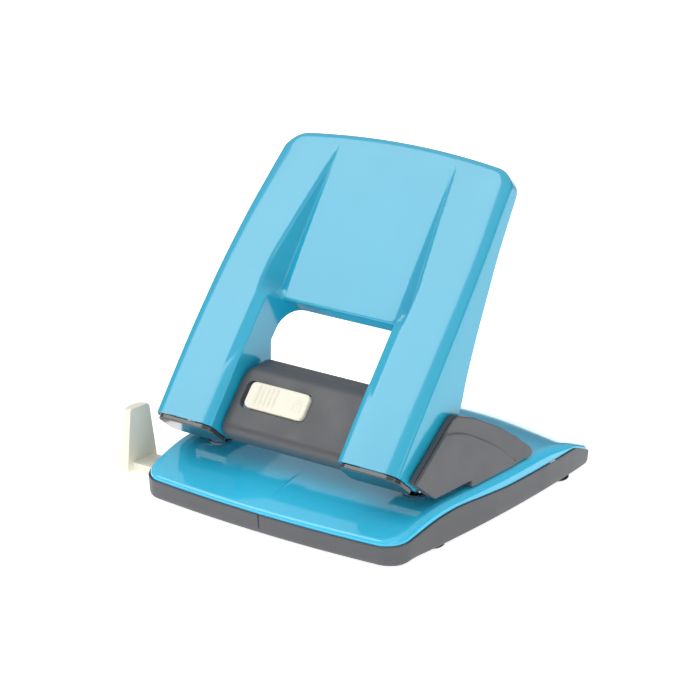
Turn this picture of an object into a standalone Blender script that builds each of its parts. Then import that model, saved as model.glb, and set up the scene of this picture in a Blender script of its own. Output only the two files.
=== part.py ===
"""Two-hole desk punch with a tall lever handle.

X runs along the row of holes, the paper goes in from the front (-Y), +Z is up.
The handle is modelled upright and flat, then leaned back about its hinge line.
"""
import math

import bmesh
import bpy
from mathutils import Matrix, Vector

MM = 0.001

# ---- driving dimensions (millimetres) ----
HOLE_SPACING = 80.0
HOLE_DIAMETER = 5.5
GAP = 0.3

BASE_HALF_WIDTH = 54.6
BASE_FRONT = -26.6
BASE_REAR = 87.0
FRONT_BULGE = 3.2
REAR_BULGE = 0.5
FRONT_CORNER = 7.0
REAR_CORNER = 4.5
BASE_BOTTOM = 1.5
BASE_WALL = 1.8

DECK_TOP = 15.5
DECK_THICKNESS = 1.4
PLATE_BOTTOM = 11.3
PLATE_TOP = 12.8

LEAN_DEG = 39.8
HANDLE_FOOT = (-22.0, 29.3)
HANDLE_LENGTH = 103.0
HANDLE_CROWN = 6.0
HANDLE_BOW = 2.3
BOW_MIDDLE = 55.0
BOW_REACH = 62.0
ARM_OUTER = 49.2
ARM_INNER = 25.0
ARM_ROUND = 4.8
ARM_ROUND_DEPTH = 1.7
SKIN = 1.8
LIP_HEIGHT = 48.5
APEX_HEIGHT = 103.5
LIP_DEPTH = 3.8
FOOT_DEPTH = 1.7
PIVOT = (-9.5, 31.5)
PRESS_DEG = 38.0
LEVER_SCREW_S = 29.0

BRACKET_INNER = 33.4
BRACKET_OUTER = 46.6
BRACKET_WALL = 1.4
SCREW_Y = (18.5, 28.0)
SCREW_HOLE = 1.7
COVER_INNER = 49.6
COVER_OUTER = 53.0
THROAT_BACK = 12.0
THROAT_TOP = 18.4
GUIDE_PLATE_BOTTOM = 18.7
GUIDE_PLATE_TOP = 21.2

PIN_TIP = 18.95
PIN_TOP = 32.4
NOSE_REACH = 10.05
NOSE_RADIUS = 2.2
NOSE_START_DEG = 19.0
AXLE_RADIUS = 2.0

PANEL_HALF = 24.7
PANEL_SINK = 4.0
SLOT_X = (-22.0, 4.8)
SLOT_S = (9.7, 19.3)
BOLT_DEPTH = 13.0
BOLT_S = 14.5
BOLT_RADIUS = 1.5

GUIDE_FACE_X = -62.0
GUIDE_OUTER_X = -70.0
GUIDE_Y = (-22.5, -7.0)
RAIL_Y = (-19.5, -9.0)
RAIL_Z = (4.2, 7.4)

TRAY_HALF = 43.0
TRAY_Y = (-6.5, 76.0)
TRAY_TOP = 8.3
TRAY_PIN_Y = 79.0
TRAY_PIN_Z = 5.6

HOLE_X = HOLE_SPACING / 2
SIDES = (("left", -1), ("right", 1))

# the frame's origin: centre of the footprint, on the surface it stands on
ORIGIN_X = (GUIDE_OUTER_X + BASE_HALF_WIDTH) / 2
ORIGIN_Y = (BASE_FRONT - FRONT_BULGE + BASE_REAR + REAR_BULGE) / 2

COLOURS = {
    "blue": ((0.075, 0.52, 0.74), 0.25, 0.0),
    "grey": ((0.13, 0.135, 0.15), 0.5, 0.0),
    "black": ((0.012, 0.012, 0.013), 0.6, 0.0),
    "ivory": ((0.85, 0.83, 0.76), 0.4, 0.0),
    "steel": ((0.55, 0.55, 0.56), 0.35, 1.0),
    "dark_steel": ((0.2, 0.2, 0.21), 0.4, 1.0),
}


# ---------------------------------------------------------------- scene setup

def clear_scene():
    for obj in list(bpy.data.objects):
        bpy.data.objects.remove(obj, do_unlink=True)


def new_collection(name):
    collection = bpy.data.collections.new(name)
    bpy.context.scene.collection.children.link(collection)
    return collection


clear_scene()
PARTS = new_collection("hole_punch")
CUTTERS = new_collection("hole_punch_cutters")


def new_empty(name, location, parent=None):
    empty = bpy.data.objects.new(name, None)
    PARTS.objects.link(empty)
    empty.parent = parent
    empty.location = Vector(location) * MM
    return empty


ROOT = new_empty("punch_frame", (-ORIGIN_X, -ORIGIN_Y, 0.0))
HANDLE = new_empty("handle_pivot", (0.0, PIVOT[0], PIVOT[1]), ROOT)
HANDLE.rotation_euler = (-math.radians(LEAN_DEG), 0.0, 0.0)


def to_handle(y, z):
    """Depth behind the handle's front plane, and height along it, of a world point."""
    lean = math.radians(LEAN_DEG)
    dy = y - HANDLE_FOOT[0]
    dz = z - HANDLE_FOOT[1]
    return dy * math.cos(lean) - dz * math.sin(lean), dy * math.sin(lean) + dz * math.cos(lean)


PIVOT_DEPTH, PIVOT_S = to_handle(*PIVOT)


def make_material(key):
    name = "punch_" + key
    material = bpy.data.materials.get(name)
    if material is None:
        colour, roughness, metallic = COLOURS[key]
        material = bpy.data.materials.new(name)
        material.use_nodes = True
        shader = material.node_tree.nodes["Principled BSDF"]
        shader.inputs["Base Color"].default_value = (*colour, 1.0)
        shader.inputs["Roughness"].default_value = roughness
        shader.inputs["Metallic"].default_value = metallic
    return material


# ------------------------------------------------------------- shape helpers

def finish(obj, material, on_handle=False):
    """Smooth, colour and parent one sub-part whose mesh is in millimetres."""
    obj.data.transform(Matrix.Scale(MM, 4))
    if on_handle:
        obj.parent = HANDLE
        obj.location = Vector((0.0, -PIVOT_DEPTH, -PIVOT_S)) * MM
    else:
        obj.parent = ROOT
    obj.data.materials.append(make_material(material).copy())
    obj.data.materials[0].name = obj.name + "_finish"
    for polygon in obj.data.polygons:
        polygon.use_smooth = True
    obj.data.set_sharp_from_angle(angle=math.radians(35))
    return obj


def link(mesh, name, collection):
    obj = bpy.data.objects.new(name, mesh)
    collection.objects.link(obj)
    return obj


def mesh_from_bmesh(bm, name):
    mesh = bpy.data.meshes.new(name)
    bmesh.ops.recalc_face_normals(bm, faces=bm.faces[:])
    bm.to_mesh(mesh)
    bm.free()
    return mesh


def box(name, low, high, collection=PARTS):
    bm = bmesh.new()
    bmesh.ops.create_cube(bm, size=1.0)
    size = [h - l for l, h in zip(low, high)]
    centre = [(h + l) / 2 for l, h in zip(low, high)]
    bmesh.ops.transform(bm, verts=bm.verts[:], matrix=Matrix.Diagonal((*size, 1.0)))
    bmesh.ops.translate(bm, verts=bm.verts[:], vec=centre)
    return link(mesh_from_bmesh(bm, name), name, collection)


def axis_turn(axis):
    """Rotation that takes +Z to the named axis."""
    turns = {
        "x": Matrix.Rotation(math.radians(90), 4, "Y"),
        "y": Matrix.Rotation(math.radians(-90), 4, "X"),
        "z": Matrix.Identity(4),
    }
    return turns[axis]


def rod(name, radius, low, high, axis="z", at=(0.0, 0.0), segments=20, collection=PARTS):
    """Cylinder from low to high along an axis; at gives the other two coordinates."""
    bm = bmesh.new()
    bmesh.ops.create_cone(
        bm, cap_ends=True, segments=segments, radius1=radius, radius2=radius, depth=high - low
    )
    bmesh.ops.transform(bm, verts=bm.verts[:], matrix=axis_turn(axis))
    middle = (low + high) / 2
    place = {"x": (middle, *at), "y": (at[0], middle, at[1]), "z": (*at, middle)}
    bmesh.ops.translate(bm, verts=bm.verts[:], vec=place[axis])
    return link(mesh_from_bmesh(bm, name), name, collection)


def turned(name, profile, place, axis="z", segments=20, closed=False):
    """Profile of (radius, height), its outer side from top to bottom, turned about Z."""
    mesh = bpy.data.meshes.new(name)
    edges = [(i, i + 1) for i in range(len(profile) - 1)]
    if closed:
        edges.append((len(profile) - 1, 0))
    mesh.from_pydata([(r * MM, 0.0, h * MM) for r, h in profile], edges, [])
    obj = link(mesh, name, PARTS)
    screw = obj.modifiers.new("Screw", "SCREW")
    screw.steps = segments
    screw.render_steps = segments
    screw.use_merge_vertices = True
    screw.merge_threshold = 0.00001
    bake(obj)
    obj.data.transform(Matrix.Scale(1 / MM, 4))
    obj.data.transform(Matrix.Translation(place) @ axis_turn(axis))
    return obj


def bake(obj):
    """Replace an object's mesh by its evaluated one, with no modifiers left."""
    bpy.context.view_layer.update()
    evaluated = obj.evaluated_get(bpy.context.evaluated_depsgraph_get())
    mesh = bpy.data.meshes.new_from_object(evaluated)
    obj.modifiers.clear()
    obj.data = mesh


def flat_outline(name, outline, low, high, collection=PARTS):
    """Filled outline in X and Y, from low to high in Z."""
    curve = bpy.data.curves.new(name, "CURVE")
    curve.dimensions = "2D"
    curve.fill_mode = "BOTH"
    curve.extrude = (high - low) / 2
    spline = curve.splines.new("POLY")
    spline.points.add(len(outline) - 1)
    for point, (x, y) in zip(spline.points, outline):
        point.co = (x, y, 0.0, 1.0)
    spline.use_cyclic_u = True
    source = bpy.data.objects.new(name + "_outline", curve)
    collection.objects.link(source)
    bpy.context.view_layer.update()
    evaluated = source.evaluated_get(bpy.context.evaluated_depsgraph_get())
    mesh = bpy.data.meshes.new_from_object(evaluated)
    bpy.data.objects.remove(source, do_unlink=True)
    bm = bmesh.new()
    bm.from_mesh(mesh)
    bmesh.ops.remove_doubles(bm, verts=bm.verts[:], dist=0.0001)
    bmesh.ops.translate(bm, verts=bm.verts[:], vec=(0.0, 0.0, (high + low) / 2))
    return link(mesh_from_bmesh(bm, name), name, collection)


def side_outline(name, outline, low, high, collection=PARTS):
    """Filled outline in Y and Z, from low to high in X."""
    obj = flat_outline(name, outline, low, high, collection)
    turn = Matrix(((0, 0, 1, 0), (1, 0, 0, 0), (0, 1, 0, 0), (0, 0, 0, 1)))
    obj.data.transform(turn)
    return obj


def front_outline(name, outline, low, high, collection=PARTS):
    """Filled outline in X and Z, from low to high in Y."""
    obj = flat_outline(name, outline, -high, -low, collection)
    obj.data.transform(Matrix.Rotation(math.radians(90), 4, "X"))
    return obj


def combine(obj, others, operation):
    """Cut or join other objects, which are used up, and keep a plain mesh."""
    for other in others:
        other.hide_render = True
        other.display_type = "WIRE"
        modifier = obj.modifiers.new("Boolean", "BOOLEAN")
        modifier.operation = operation
        modifier.solver = "EXACT"
        modifier.object = other
        bake(obj)
        bpy.data.objects.remove(other, do_unlink=True)
    return obj


def cut(obj, *others):
    return combine(obj, others, "DIFFERENCE")


def join(obj, *others):
    return combine(obj, others, "UNION")


def round_edges(obj, width, segments=2, angle=40):
    bevel = obj.modifiers.new("Bevel", "BEVEL")
    bevel.width = width
    bevel.segments = segments
    bevel.limit_method = "ANGLE"
    bevel.angle_limit = math.radians(angle)
    bake(obj)
    return obj


def mirrored(points, side):
    """Outline points with X mirrored to a side."""
    return [(x * side, y) for x, y in points]


def span(low, high, side):
    """Low and high X of a stretch given for the right side."""
    return (low, high) if side > 0 else (-high, -low)


def arc(centre, radius, start_deg, end_deg, steps):
    points = []
    for i in range(steps + 1):
        angle = math.radians(start_deg + (end_deg - start_deg) * i / steps)
        points.append((centre[0] + radius * math.cos(angle), centre[1] + radius * math.sin(angle)))
    return points


def rounded_rectangle(low, high, radius, steps=3):
    corners = (
        ((high[0] - radius, low[1] + radius), -90),
        ((high[0] - radius, high[1] - radius), 0),
        ((low[0] + radius, high[1] - radius), 90),
        ((low[0] + radius, low[1] + radius), 180),
    )
    points = []
    for centre, start in corners:
        points += arc(centre, radius, start, start + 90, steps)
    return points


def between(value, stations):
    """Straight-line reading of a list of (place, size) pairs."""
    if value <= stations[0][0]:
        return stations[0][1]
    for (a, size_a), (b, size_b) in zip(stations, stations[1:]):
        if value <= b:
            return size_a + (size_b - size_a) * (value - a) / (b - a)
    return stations[-1][1]


def loft(name, rings, ladder=False):
    """Solid through rings of equal length.

    A ladder's ring runs along its front and back again, point for point, so that
    its end caps can be strips of quads.
    """
    bm = bmesh.new()
    loops = [[bm.verts.new(point) for point in ring] for ring in rings]
    count = len(rings[0])
    for first, second in zip(loops, loops[1:]):
        for i in range(count):
            j = (i + 1) % count
            bm.faces.new((first[i], first[j], second[j], second[i]))
    for loop in (loops[0], loops[-1]):
        if ladder:
            for i in range(count // 2 - 1):
                bm.faces.new((loop[i], loop[i + 1], loop[count - 2 - i], loop[count - 1 - i]))
        else:
            bm.faces.new(loop)
    bmesh.ops.triangulate(bm, faces=bm.faces[:], ngon_method="EAR_CLIP")
    return link(mesh_from_bmesh(bm, name), name, PARTS)


# --------------------------------------------------------------------- base

def half_width(y):
    """Half the base's width at a place along its depth, with rounded corners."""
    belly = 2.6 * ((y - 26.0) / 56.0) ** 2
    width = BASE_HALF_WIDTH - belly
    for corner, end in ((FRONT_CORNER, BASE_FRONT - y), (REAR_CORNER, y - BASE_REAR)):
        over = min(max(end + corner, 0.0), corner)
        width -= corner - math.sqrt(corner ** 2 - over ** 2)
    return width


def plan_point(u, y):
    """Plan position for a place across (-1 to 1) and along the base."""
    t = (y - BASE_FRONT) / (BASE_REAR - BASE_FRONT)
    shift = REAR_BULGE * t ** 4 - FRONT_BULGE * (1 - t) ** 4
    return u * half_width(y), y + shift * (1 - u * u)


def deck_height(x, y):
    """Height of the deck: rising at the lip, level, then falling to the rear corners."""
    if y < 2.0:
        return DECK_TOP - 0.0088 * (y - 2.0) ** 2
    if y > 50.0:
        return DECK_TOP - (0.004 + 0.0026 * (x / 50.0) ** 2) * (y - 50.0) ** 2
    return DECK_TOP


SEAM_STATIONS = (
    (-26.6, 7.4), (-22, 8.0), (-9, 11.3), (-1, 12.4), (6, 12.6), (19, 11.7), (32, 10.9), (86, 10.6),
)


def seam_height(x, y):
    """Height of the deck's lower edge, where the grey shell takes over."""
    return min(between(y, SEAM_STATIONS), deck_height(x, y) - DECK_THICKNESS - 0.2)


def corner_steps(corner):
    """Distances from the end of the base, close together round a corner."""
    return [corner * (1 - math.cos(math.radians(angle))) for angle in (0, 25, 50, 75)]


def plan_stations():
    """Places along the base, close together at its rounded corners."""
    front = [BASE_FRONT + step for step in corner_steps(FRONT_CORNER)]
    rear = [BASE_REAR - step for step in reversed(corner_steps(REAR_CORNER))]
    return front + [-13.0, -6.0, 2.0, 18.0, 34.0, 50.0, 64.0, 75.0] + rear


FRONT_STEPS = (-0.8, -0.5, 0.0, 0.5, 0.8)


def outline_ring(height, inset):
    """Closed ring round the base; height gives Z from X and Y."""
    ring = []
    stations = plan_stations()

    def add(u, y):
        x_plan, y_plan = plan_point(u, y)
        centre_y = min(max(y_plan, 10.0), 45.0)
        away = Vector((x_plan, y_plan - centre_y))
        if abs(u) == 1 and centre_y == y_plan:
            away = Vector((x_plan, 0.0))
        step = away.normalized() * inset
        ring.append((x_plan - step.x, y_plan - step.y, height(x_plan, y)))

    for u in FRONT_STEPS:
        add(u, BASE_FRONT)
    for y in stations:
        add(1, y)
    for u in reversed(FRONT_STEPS):
        add(u, BASE_REAR)
    for y in reversed(stations):
        add(-1, y)
    return ring


def make_base_shell():
    floor = BASE_BOTTOM + BASE_WALL

    def top(x, y):
        return seam_height(x, y) - GAP

    rings = [
        outline_ring(lambda x, y: BASE_BOTTOM, 1.6),
        outline_ring(lambda x, y: (BASE_BOTTOM + top(x, y)) / 2, 0.0),
        outline_ring(top, 0.1),
        outline_ring(lambda x, y: top(x, y) - 1.6, 0.5),
        outline_ring(lambda x, y: top(x, y) - 2.3, BASE_WALL),
        outline_ring(lambda x, y: floor, BASE_WALL),
    ]
    shell = loft("base_shell", rings)
    window = flat_outline(
        "tray_window",
        rounded_rectangle(
            (-TRAY_HALF - 0.4, TRAY_Y[0] - 0.4), (TRAY_HALF + 0.4, TRAY_Y[1] + 4.6), 4.0
        ),
        BASE_BOTTOM - 5, floor + 3, CUTTERS,
    )
    rail_slot = box(
        "rail_slot", (-70, RAIL_Y[0] - GAP, RAIL_Z[0] - GAP),
        (-45, RAIL_Y[1] + GAP, RAIL_Z[1] + GAP), CUTTERS,
    )
    cut(shell, window, rail_slot)
    for side in (-1, 1):
        x0, x1 = span(TRAY_HALF + 1.2, TRAY_HALF + 3.0, side)
        ear = box("tray_ear", (x0, TRAY_PIN_Y - 2.5, floor - 0.5), (x1, TRAY_PIN_Y + 2.5, 7.4))
        join(shell, ear)
    hole = rod("tray_pin_hole", 1.2, -60, 60, "x", (TRAY_PIN_Y, TRAY_PIN_Z), 12, CUTTERS)
    inner = box("hole_limit", (-TRAY_HALF - 4, 70, 0), (TRAY_HALF + 4, 84, 12), CUTTERS)
    combine(hole, [inner], "INTERSECT")
    cut(shell, hole)
    return finish(shell, "grey")


def make_deck_cover():
    """Open sheet from the rolled edge over the top, thickened inwards."""
    bm = bmesh.new()
    rows = []
    across = [-1, -0.997, -0.985, -0.96, -0.8, -0.4, 0, 0.4, 0.8, 0.96, 0.985, 0.997, 1]
    for y in plan_stations():
        row = []
        for u in across:
            x_plan, y_plan = plan_point(u, y)
            edge = min((1 - abs(u)) / 0.04, 1.0)
            drop = 1 - math.sqrt(1 - (1 - edge) ** 2)
            top = deck_height(x_plan, y)
            z = top - (top - seam_height(x_plan, y)) * drop
            row.append(bm.verts.new((x_plan * 0.998, y_plan, z)))
        rows.append(row)
    for first, second in zip(rows, rows[1:]):
        for i in range(len(across) - 1):
            bm.faces.new((first[i], first[i + 1], second[i + 1], second[i]))
    deck = link(mesh_from_bmesh(bm, "deck_cover"), "deck_cover", PARTS)
    solidify = deck.modifiers.new("Solidify", "SOLIDIFY")
    solidify.thickness = DECK_THICKNESS
    solidify.offset = -1.0
    bake(deck)
    for _, side in SIDES:
        cut(deck, rod("die_hole", 4.1, 5, 25, "z", (HOLE_X * side, 0), 24, CUTTERS))
        for y in SCREW_Y:
            cut(deck, rod("screw_hole", SCREW_HOLE, 5, 25, "z", (HOLE_X * side, y), 10, CUTTERS))
    return finish(deck, "blue")


def make_chassis_plate():
    """Flat steel plate under the deck that carries the dies and the brackets."""
    outline = rounded_rectangle((-48.5, -9.0), (48.5, 40.0), 3.0)
    plate = flat_outline("chassis_plate", outline, PLATE_BOTTOM, PLATE_TOP)
    for _, side in SIDES:
        cut(plate, rod("die_seat", 5.3, 5, 20, "z", (HOLE_X * side, 0), 24, CUTTERS))
        for y in SCREW_Y:
            cut(plate, rod("screw_hole", SCREW_HOLE, 5, 20, "z", (HOLE_X * side, y), 10, CUTTERS))
    return finish(plate, "steel")


def make_die(name, side):
    """Hardened ring that the pin enters; its flange lies between plate and deck."""
    bore = HOLE_DIAMETER / 2 + 0.15
    flange = PLATE_TOP + 0.05
    top = DECK_TOP - GAP
    profile = [(3.8, top), (3.8, flange + 0.35), (5.7, flange + 0.35), (5.7, flange), (5.0, flange)]
    profile += [(5.0, 9.2), (bore + 0.4, 9.2), (bore, 12.0), (bore, top - 0.2), (bore + 0.2, top)]
    die = turned(name, profile, (HOLE_X * side, 0, 0), "z", 24, closed=True)
    return finish(die, "steel")


def make_tower_cover(name, side):
    """Fan-shaped cover beside each bracket, open at the front for the paper."""
    outline = [(-18.0, 26.4), (-7.5, THROAT_TOP), (THROAT_BACK, THROAT_TOP), (THROAT_BACK, 15.8)]
    outline += [(49.0, 15.8), (48.6, 17.6), (41.0, 23.2), (34.0, 28.0), (26.3, 32.6), (19.0, 36.3)]
    outline += [(12.4, 39.4), (7.4, 41.3), (4.2, 41.9), (1.2, 41.0), (-3.0, 38.1)]
    x0, x1 = span(COVER_INNER, COVER_OUTER, side)
    cover = side_outline(name, outline, x0, x1)
    round_edges(cover, 0.5, 1, 30)
    return finish(cover, "grey")


def make_tower_bracket(name, side):
    """Folded steel frame: base flange, back web, pin guide plate and two cheeks."""
    outline = [(-7.0, GUIDE_PLATE_BOTTOM), (THROAT_BACK + 0.3, GUIDE_PLATE_BOTTOM)]
    outline += [(THROAT_BACK + 0.3, 15.8), (32.0, 15.8), (32.0, 19.0), (20.0, 31.0), (6.0, 36.8)]
    outline += [(-7.5, 36.2)]
    outline += arc(PIVOT, 4.3, 100, 215, 6)
    x0, x1 = span(BRACKET_INNER, BRACKET_OUTER, side)
    bracket = side_outline(name, outline, x0, x1)
    a, b = span(BRACKET_INNER + BRACKET_WALL, BRACKET_OUTER - BRACKET_WALL, side)
    well = box("pin_well", (a, -30, GUIDE_PLATE_TOP), (b, THROAT_BACK + 0.4, 50), CUTTERS)
    rear = box("rear_well", (a, THROAT_BACK + 1.9, 17.3), (b, 50, 50), CUTTERS)
    hole = HOLE_DIAMETER / 2 + 0.12
    pin_hole = rod("pin_hole", hole, 10, 25, "z", (HOLE_X * side, 0), 20, CUTTERS)
    axle_hole = rod("axle_hole", AXLE_RADIUS + 0.1, x0 - 1, x1 + 1, "x", PIVOT, 16, CUTTERS)
    cut(bracket, well, rear, pin_hole, axle_hole)
    for y in SCREW_Y:
        cut(bracket, rod("screw_hole", SCREW_HOLE, 10, 18, "z", (HOLE_X * side, y), 10, CUTTERS))
    if side < 0:
        for turn in (0.0, PRESS_DEG):
            at = bolt_place(turn)
            cut(bracket, rod("bolt_hole", 1.85, -36, -30, "x", at, 12, CUTTERS))
    return finish(bracket, "steel")


def bolt_place(press_deg):
    """World Y and Z of the lock bolt with the handle pressed by an angle."""
    lean = math.radians(LEAN_DEG + press_deg)
    depth = BOLT_DEPTH - PIVOT_DEPTH
    along = BOLT_S - PIVOT_S
    y = depth * math.cos(lean) + along * math.sin(lean)
    z = along * math.cos(lean) - depth * math.sin(lean)
    return PIVOT[0] + y, PIVOT[1] + z


def make_bracket_screw(name, side, y):
    x = HOLE_X * side
    profile = [(0, 19.2), (1.6, 19.2), (2.8, 18.3), (2.8, 17.6), (1.4, 17.6), (1.4, 10.6), (0, 10.6)]
    return finish(turned(name, profile, (x, y, 0), "z", 12), "dark_steel")


def make_hinge_axle(name, side):
    x0, x1 = span(31.6, BRACKET_OUTER + 0.4, side)
    return finish(rod(name, AXLE_RADIUS, x0, x1, "x", PIVOT, 16), "steel")


def make_axle_clip(name, side):
    """Retaining ring on the axle's inner end."""
    x = 32.6 * side
    inner = AXLE_RADIUS + 0.08
    profile = [(3.4, 0.4), (3.4, -0.4), (inner, -0.4), (inner, 0.4)]
    clip = turned(name, profile, (x, PIVOT[0], PIVOT[1]), "x", 16, closed=True)
    return finish(clip, "dark_steel")


def make_foot(name, x, y):
    profile = [(0, BASE_BOTTOM - GAP), (4.2, BASE_BOTTOM - GAP), (4.5, 0.9), (4.0, 0.0), (0, 0.0)]
    return finish(turned(name, profile, (x, y, 0), "z", 16), "black")


def make_guide_spring():
    """Leaf spring under the chassis plate that rests lightly on the paper guide's rail."""
    upper = [(-33.0, 11.0), (-26.0, 11.0), (-20.0, 8.1), (-14.0, 8.1), (-12.0, 9.2)]
    lower = [(-12.2, 8.8), (-14.1, 7.7), (-20.1, 7.7), (-26.1, 10.6), (-33.0, 10.6)]
    spring = front_outline("guide_spring", upper + lower, -14.5, -8.0)
    return finish(spring, "steel")


def make_tray_hinge_pin():
    pin = rod("tray_hinge_pin", 1.05, -46.5, 46.5, "x", (TRAY_PIN_Y, TRAY_PIN_Z), 12)
    return finish(pin, "steel")


def make_chip_tray():
    """Shallow pan that closes the underside, hinged at its rear edge."""
    bottom = BASE_BOTTOM
    pan = flat_outline(
        "chip_tray", rounded_rectangle((-TRAY_HALF, TRAY_Y[0]), (TRAY_HALF, TRAY_Y[1]), 3.6),
        bottom, TRAY_TOP,
    )
    inside = flat_outline(
        "tray_inside",
        rounded_rectangle((-TRAY_HALF + 1.4, TRAY_Y[0] + 1.4), (TRAY_HALF - 1.4, TRAY_Y[1] - 1.4), 2.4),
        bottom + 1.3, TRAY_TOP + 5, CUTTERS,
    )
    cut(pan, inside)
    for side in (-1, 1):
        x0, x1 = span(TRAY_HALF - 9.0, TRAY_HALF - 3.0, side)
        ear = box("tray_lug", (x0, TRAY_Y[1] - 1.0, 3.4), (x1, TRAY_PIN_Y + 2.2, 7.8))
        join(pan, ear)
    hole = rod("lug_hole", 1.25, -50, 50, "x", (TRAY_PIN_Y, TRAY_PIN_Z), 12, CUTTERS)
    cut(pan, hole)
    return finish(pan, "grey")


def make_paper_guide():
    """Sliding rail with the upright stop that the sheet's edge is pushed against."""
    rail = box("paper_guide", (GUIDE_FACE_X - 3.0, RAIL_Y[0], RAIL_Z[0]), (47.0, RAIL_Y[1], RAIL_Z[1]))
    low_y, high_y = GUIDE_Y
    rings = []
    bulge = GUIDE_FACE_X - GUIDE_OUTER_X
    sections = ((4.0, 0.9, 0.6, 0.0), (5.0, 1.0, 0.0, 0.0), (16.0, 0.85, 0.7, 2.2))
    sections += ((23.5, 0.6, 2.2, 3.6), (26.0, 0.38, 3.2, 4.2))
    for z, swell, front, back in sections:
        middle = (low_y + front + high_y - back) / 2
        reach = (high_y - back - low_y - front) / 2
        ring = []
        for i in range(9):
            angle = math.radians(-90 - 22.5 * i)
            bow = abs(math.cos(angle)) ** 0.75
            ring.append((GUIDE_FACE_X - bulge * swell * bow, middle + reach * math.sin(angle), z))
        rings.append(ring)
    stop = loft("guide_stop", rings)
    join(rail, stop)
    return finish(rail, "ivory")


# ------------------------------------------------------------------- handle

REACH_STATIONS = ((0.0, ARM_OUTER), (55.0, 48.9), (90.0, 46.6), (HANDLE_LENGTH, 45.4))
SKIRT_STATIONS = (
    (0.0, 11.6), (20.0, 15.6), (28.5, 18.3), (40.0, 13.6), (55.0, 9.6), (78.0, 5.6), (103.0, 4.6),
)
RIDGE_STATIONS = ((0.0, 29.4), (50.0, 28.2), (APEX_HEIGHT, 24.2))


def side_reach(s):
    """Half the handle's width at a height, drawn in to round its top corners."""
    corner = 6.0
    over = min(max(s - HANDLE_LENGTH + corner, 0.0), corner)
    return between(s, REACH_STATIONS) - corner + math.sqrt(corner ** 2 - over ** 2)


def opening(s):
    """How far the centre recess has opened: 0 at its apex, 1 at the lip."""
    return min(max((APEX_HEIGHT - s) / (APEX_HEIGHT - LIP_HEIGHT), 0.0), 1.0)


def bow(s):
    """How far the front of the arms bulges forward at a height."""
    return HANDLE_BOW * (1 - ((s - BOW_MIDDLE) / BOW_REACH) ** 2)


def panel_depth(s):
    """Depth of the centre panel, which sinks away from the arms towards the lip."""
    flush = bow(APEX_HEIGHT)
    if s > APEX_HEIGHT:
        return -bow(s)
    return (LIP_DEPTH + flush) * opening(s) ** 1.6 - flush


def handle_ring(s):
    """Closed section of the handle's outer form at one height."""
    reach = side_reach(s)
    back = between(s, SKIRT_STATIONS)
    front_depth = -bow(s)
    panel = panel_depth(s)
    ridge = between(s, RIDGE_STATIONS)
    edge = 23.3 - opening(s)
    foot = 23.6 + 2.2 * opening(s)
    foot_depth = front_depth + (FOOT_DEPTH + bow(LIP_HEIGHT)) * opening(s)
    shoulder = foot + (ridge - foot) * 0.3
    half = [(0.0, panel), (edge, panel), (foot, min(foot_depth, panel))]
    half += [(shoulder, front_depth + (foot_depth - front_depth) * 0.3), (ridge, front_depth)]
    for angle in (90, 60, 30, 0):
        x = reach - ARM_ROUND * (1 - math.cos(math.radians(angle)))
        half.append((x, front_depth + ARM_ROUND_DEPTH * (1 - math.sin(math.radians(angle)))))
    tilt = 1.6 * max(s - HANDLE_LENGTH + 2.5, 0.0) / 2.5
    front = []
    rear = []
    for x, depth in half:
        crown = HANDLE_CROWN * (1 - (x / 59.0) ** 2) * (s / HANDLE_LENGTH) ** 6
        front.append((x, min(depth + tilt, back - 0.5), s + crown))
        rear.append((x, back, s + crown))
    front = [(-x, depth, height) for x, depth, height in reversed(front[1:])] + front
    rear = [(-x, depth, height) for x, depth, height in reversed(rear[1:])] + rear
    return front + rear[::-1]


HANDLE_STATIONS = (0.0, 15.0, 28.5, 40.0, LIP_HEIGHT, 62.0, 78.0, 90.0, 97.0, 99.3, 101.0, 102.2, 103.0)


def arm_room(side):
    """Cutter for the hollow inside one arm."""
    rings = []
    for s in (-5.0, 14.2, 28.1, 40.0, 48.5, 62.0, 78.0, 96.0):
        outer = side_reach(max(s, 0.0)) - SKIN
        inner = ARM_INNER + SKIN if s < 50 else ARM_INNER + ARM_ROUND + 1.0
        face = SKIN + 0.2 - bow(s)
        points = [(inner, face + 1.6), (inner + 2.6, face), (outer - 2.8, face), (outer, face + 2.0)]
        points += [(outer, 40.0), (inner, 40.0)]
        rings.append([(x * side, depth, s) for x, depth in points])
    room = loft("arm_room", rings)
    x0, x1 = span(HOLE_X - 3.6, HOLE_X + 3.6, side)
    low, high = LEVER_SCREW_S - 6.0, LEVER_SCREW_S + 5.0
    cut(room, box("screw_boss", (x0, -8.0, low), (x1, 2.0, high), CUTTERS))
    return room


def make_handle_shell():
    """Moulded handle: two hollow arms joined above the window by a sunk centre panel."""
    shell = loft("handle_shell", [handle_ring(s) for s in HANDLE_STATIONS], ladder=True)
    window = front_outline(
        "handle_window", rounded_rectangle((-ARM_INNER, -30.0), (ARM_INNER, LIP_HEIGHT), 4.0),
        -10.0, 60.0, CUTTERS,
    )
    middle_rings = []
    for s in (LIP_HEIGHT + 2.0, 64.0, 78.0, 97.0):
        depth = panel_depth(s) + SKIN
        middle_rings.append([(-21.5, depth, s), (21.5, depth, s), (21.5, 60.0, s), (-21.5, 60.0, s)])
    middle = loft("panel_room", middle_rings)
    cut(shell, window, middle)
    bolt_hole = rod("bolt_hole", BOLT_RADIUS + 0.3, -30, -20, "x", (BOLT_DEPTH, BOLT_S), 12, CUTTERS)
    for _, side in SIDES:
        cut(shell, arm_room(side))
        at = (HOLE_X * side, LEVER_SCREW_S)
        cut(shell, rod("screw_seat", 1.5, 1.0, 8, "y", at, 10, CUTTERS))
    cut(shell, bolt_hole)
    return finish(shell, "blue", True)


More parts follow.
